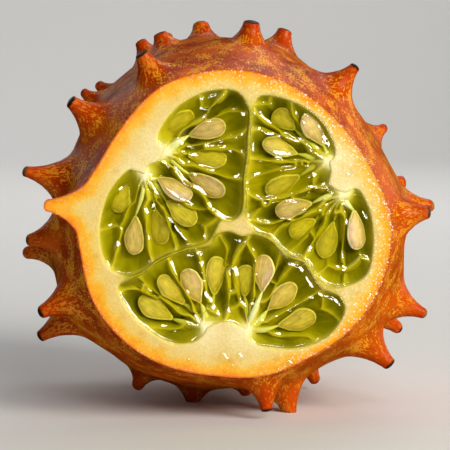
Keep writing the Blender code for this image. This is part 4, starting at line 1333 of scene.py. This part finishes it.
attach(beads, "root")
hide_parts("rind")


# ------------------------------------------------------------------------------ studio
# A pale paper sweep under plain soft light: a large key light on the right, a small one
# higher up for the wet glints, a weak fill from the left, three lights behind, and one for
# the wall of the sweep. The room is dim to the fruit, and pale to the camera.

def studio_paper():
    """Matt paper: faint long unevenness, no shine."""
    material, shader, add = new_material("studio_paper")
    cloud = add("TexNoise", {"Scale": 3.0, "Detail": 2.0})
    tint = add("ValToRGB", {"Fac": cloud}, ramp=((0.3, "dcdbd8"), (0.7, "e2e1df")))
    plug(shader, {"Base Color": tint, "Roughness": 0.9})
    return material


SWEEP_FRONT = -0.5
SWEEP_BACK = 0.9
SWEEP_RADIUS = 0.5
SWEEP_STEPS = 16
SWEEP_HEIGHT = 1.6
SWEEP_HALF_WIDTH = 0.72
curve = [(SWEEP_FRONT, 0.0)]
for step in range(SWEEP_STEPS + 1):
    turn = math.pi / 2 * step / SWEEP_STEPS
    curve.append((SWEEP_BACK + SWEEP_RADIUS * math.sin(turn),
                  SWEEP_RADIUS * (1 - math.cos(turn))))
curve.append((SWEEP_BACK + SWEEP_RADIUS, SWEEP_HEIGHT))
corners = [(x, y, z) for y, z in curve for x in (-SWEEP_HALF_WIDTH, SWEEP_HALF_WIDTH)]
sweep_mesh = bpy.data.meshes.new("sweep")
sweep_mesh.from_pydata(corners, [], [(2 * i, 2 * i + 1, 2 * i + 3, 2 * i + 2)
                                     for i in range(len(curve) - 1)])
sweep_mesh.materials.append(studio_paper())
sweep_mesh.shade_smooth()
sweep = into_scene("sweep", sweep_mesh)
sweep.visible_glossy = False

cut_centre = Vector((AXIS_X / 1000, solid_box[0][1], AXIS_HEIGHT / 1000))


def look_from(holder, azimuth, elevation, distance, aim=cut_centre):
    """Set a light or the camera to look at its aim from angles round it, in degrees."""
    azimuth, elevation = math.radians(azimuth), math.radians(elevation)
    way = Vector((math.sin(azimuth) * math.cos(elevation),
                  -math.cos(azimuth) * math.cos(elevation), math.sin(elevation)))
    holder.location = aim + way * distance
    holder.rotation_euler = way.to_track_quat("Z", "Y").to_euler()


def soft_light(name, azimuth, elevation, distance, size, power, warmth="ffffff",
               aim=cut_centre, spread=180.0):
    """A square soft box that looks at the cut, or at its aim, from an angle round it."""
    light = bpy.data.lights.new(name, "AREA")
    light.size = size
    light.spread = math.radians(spread)
    light.energy = power
    light.color = colour(warmth)[:3]
    holder = into_scene(name, light)
    holder.visible_camera = False
    look_from(holder, azimuth, elevation, distance, aim)


soft_light("key_light", 46, 24, 0.75, 0.42, 3.9, "fffaf2", spread=140.0)
soft_light("glint_light", 10, 30, 0.6, 0.15, 0.8)
soft_light("fill_light", -50, 30, 1.0, 0.6, 0.3, "f4f7ff")
soft_light("back_light", 150, 50, 0.9, 0.5, 1.2)
soft_light("rear_light", 215, 28, 1.0, 0.6, 0.9)
soft_light("edge_light", 125, 12, 0.8, 0.5, 0.6)
soft_light("backdrop_light", 0, 40, 1.1, 0.9, 7.0, aim=Vector((0, 1.4, 0.3)))

world = bpy.data.worlds.new("studio")
world.use_nodes = True
room = world.node_tree
seen = node(room, "LightPath").outputs["Is Camera Ray"]
strength = node(room, "MapRange", {"Value": seen, "To Min": 0.06, "To Max": 0.72})
plug(room.nodes["Background"], {"Color": "e6e8ea", "Strength": strength})
world.cycles_visibility.glossy = False
bpy.context.scene.world = world

VIEW_AZIMUTH, VIEW_ELEVATION = -3.5, 5.0
VIEW_DISTANCE = 0.43
FRAME_HEIGHT = 0.09
SENSOR_WIDTH = 36
lens = bpy.data.cameras.new("camera")
lens.sensor_width = SENSOR_WIDTH
lens.lens = SENSOR_WIDTH * VIEW_DISTANCE / FRAME_HEIGHT
lens.shift_x, lens.shift_y = -0.022, 0.007
lens.clip_start = 0.01
camera = into_scene("camera", lens)
look_from(camera, VIEW_AZIMUTH, VIEW_ELEVATION, VIEW_DISTANCE)
bpy.context.scene.camera = camera
bpy.context.scene.view_settings.view_transform = "Standard"
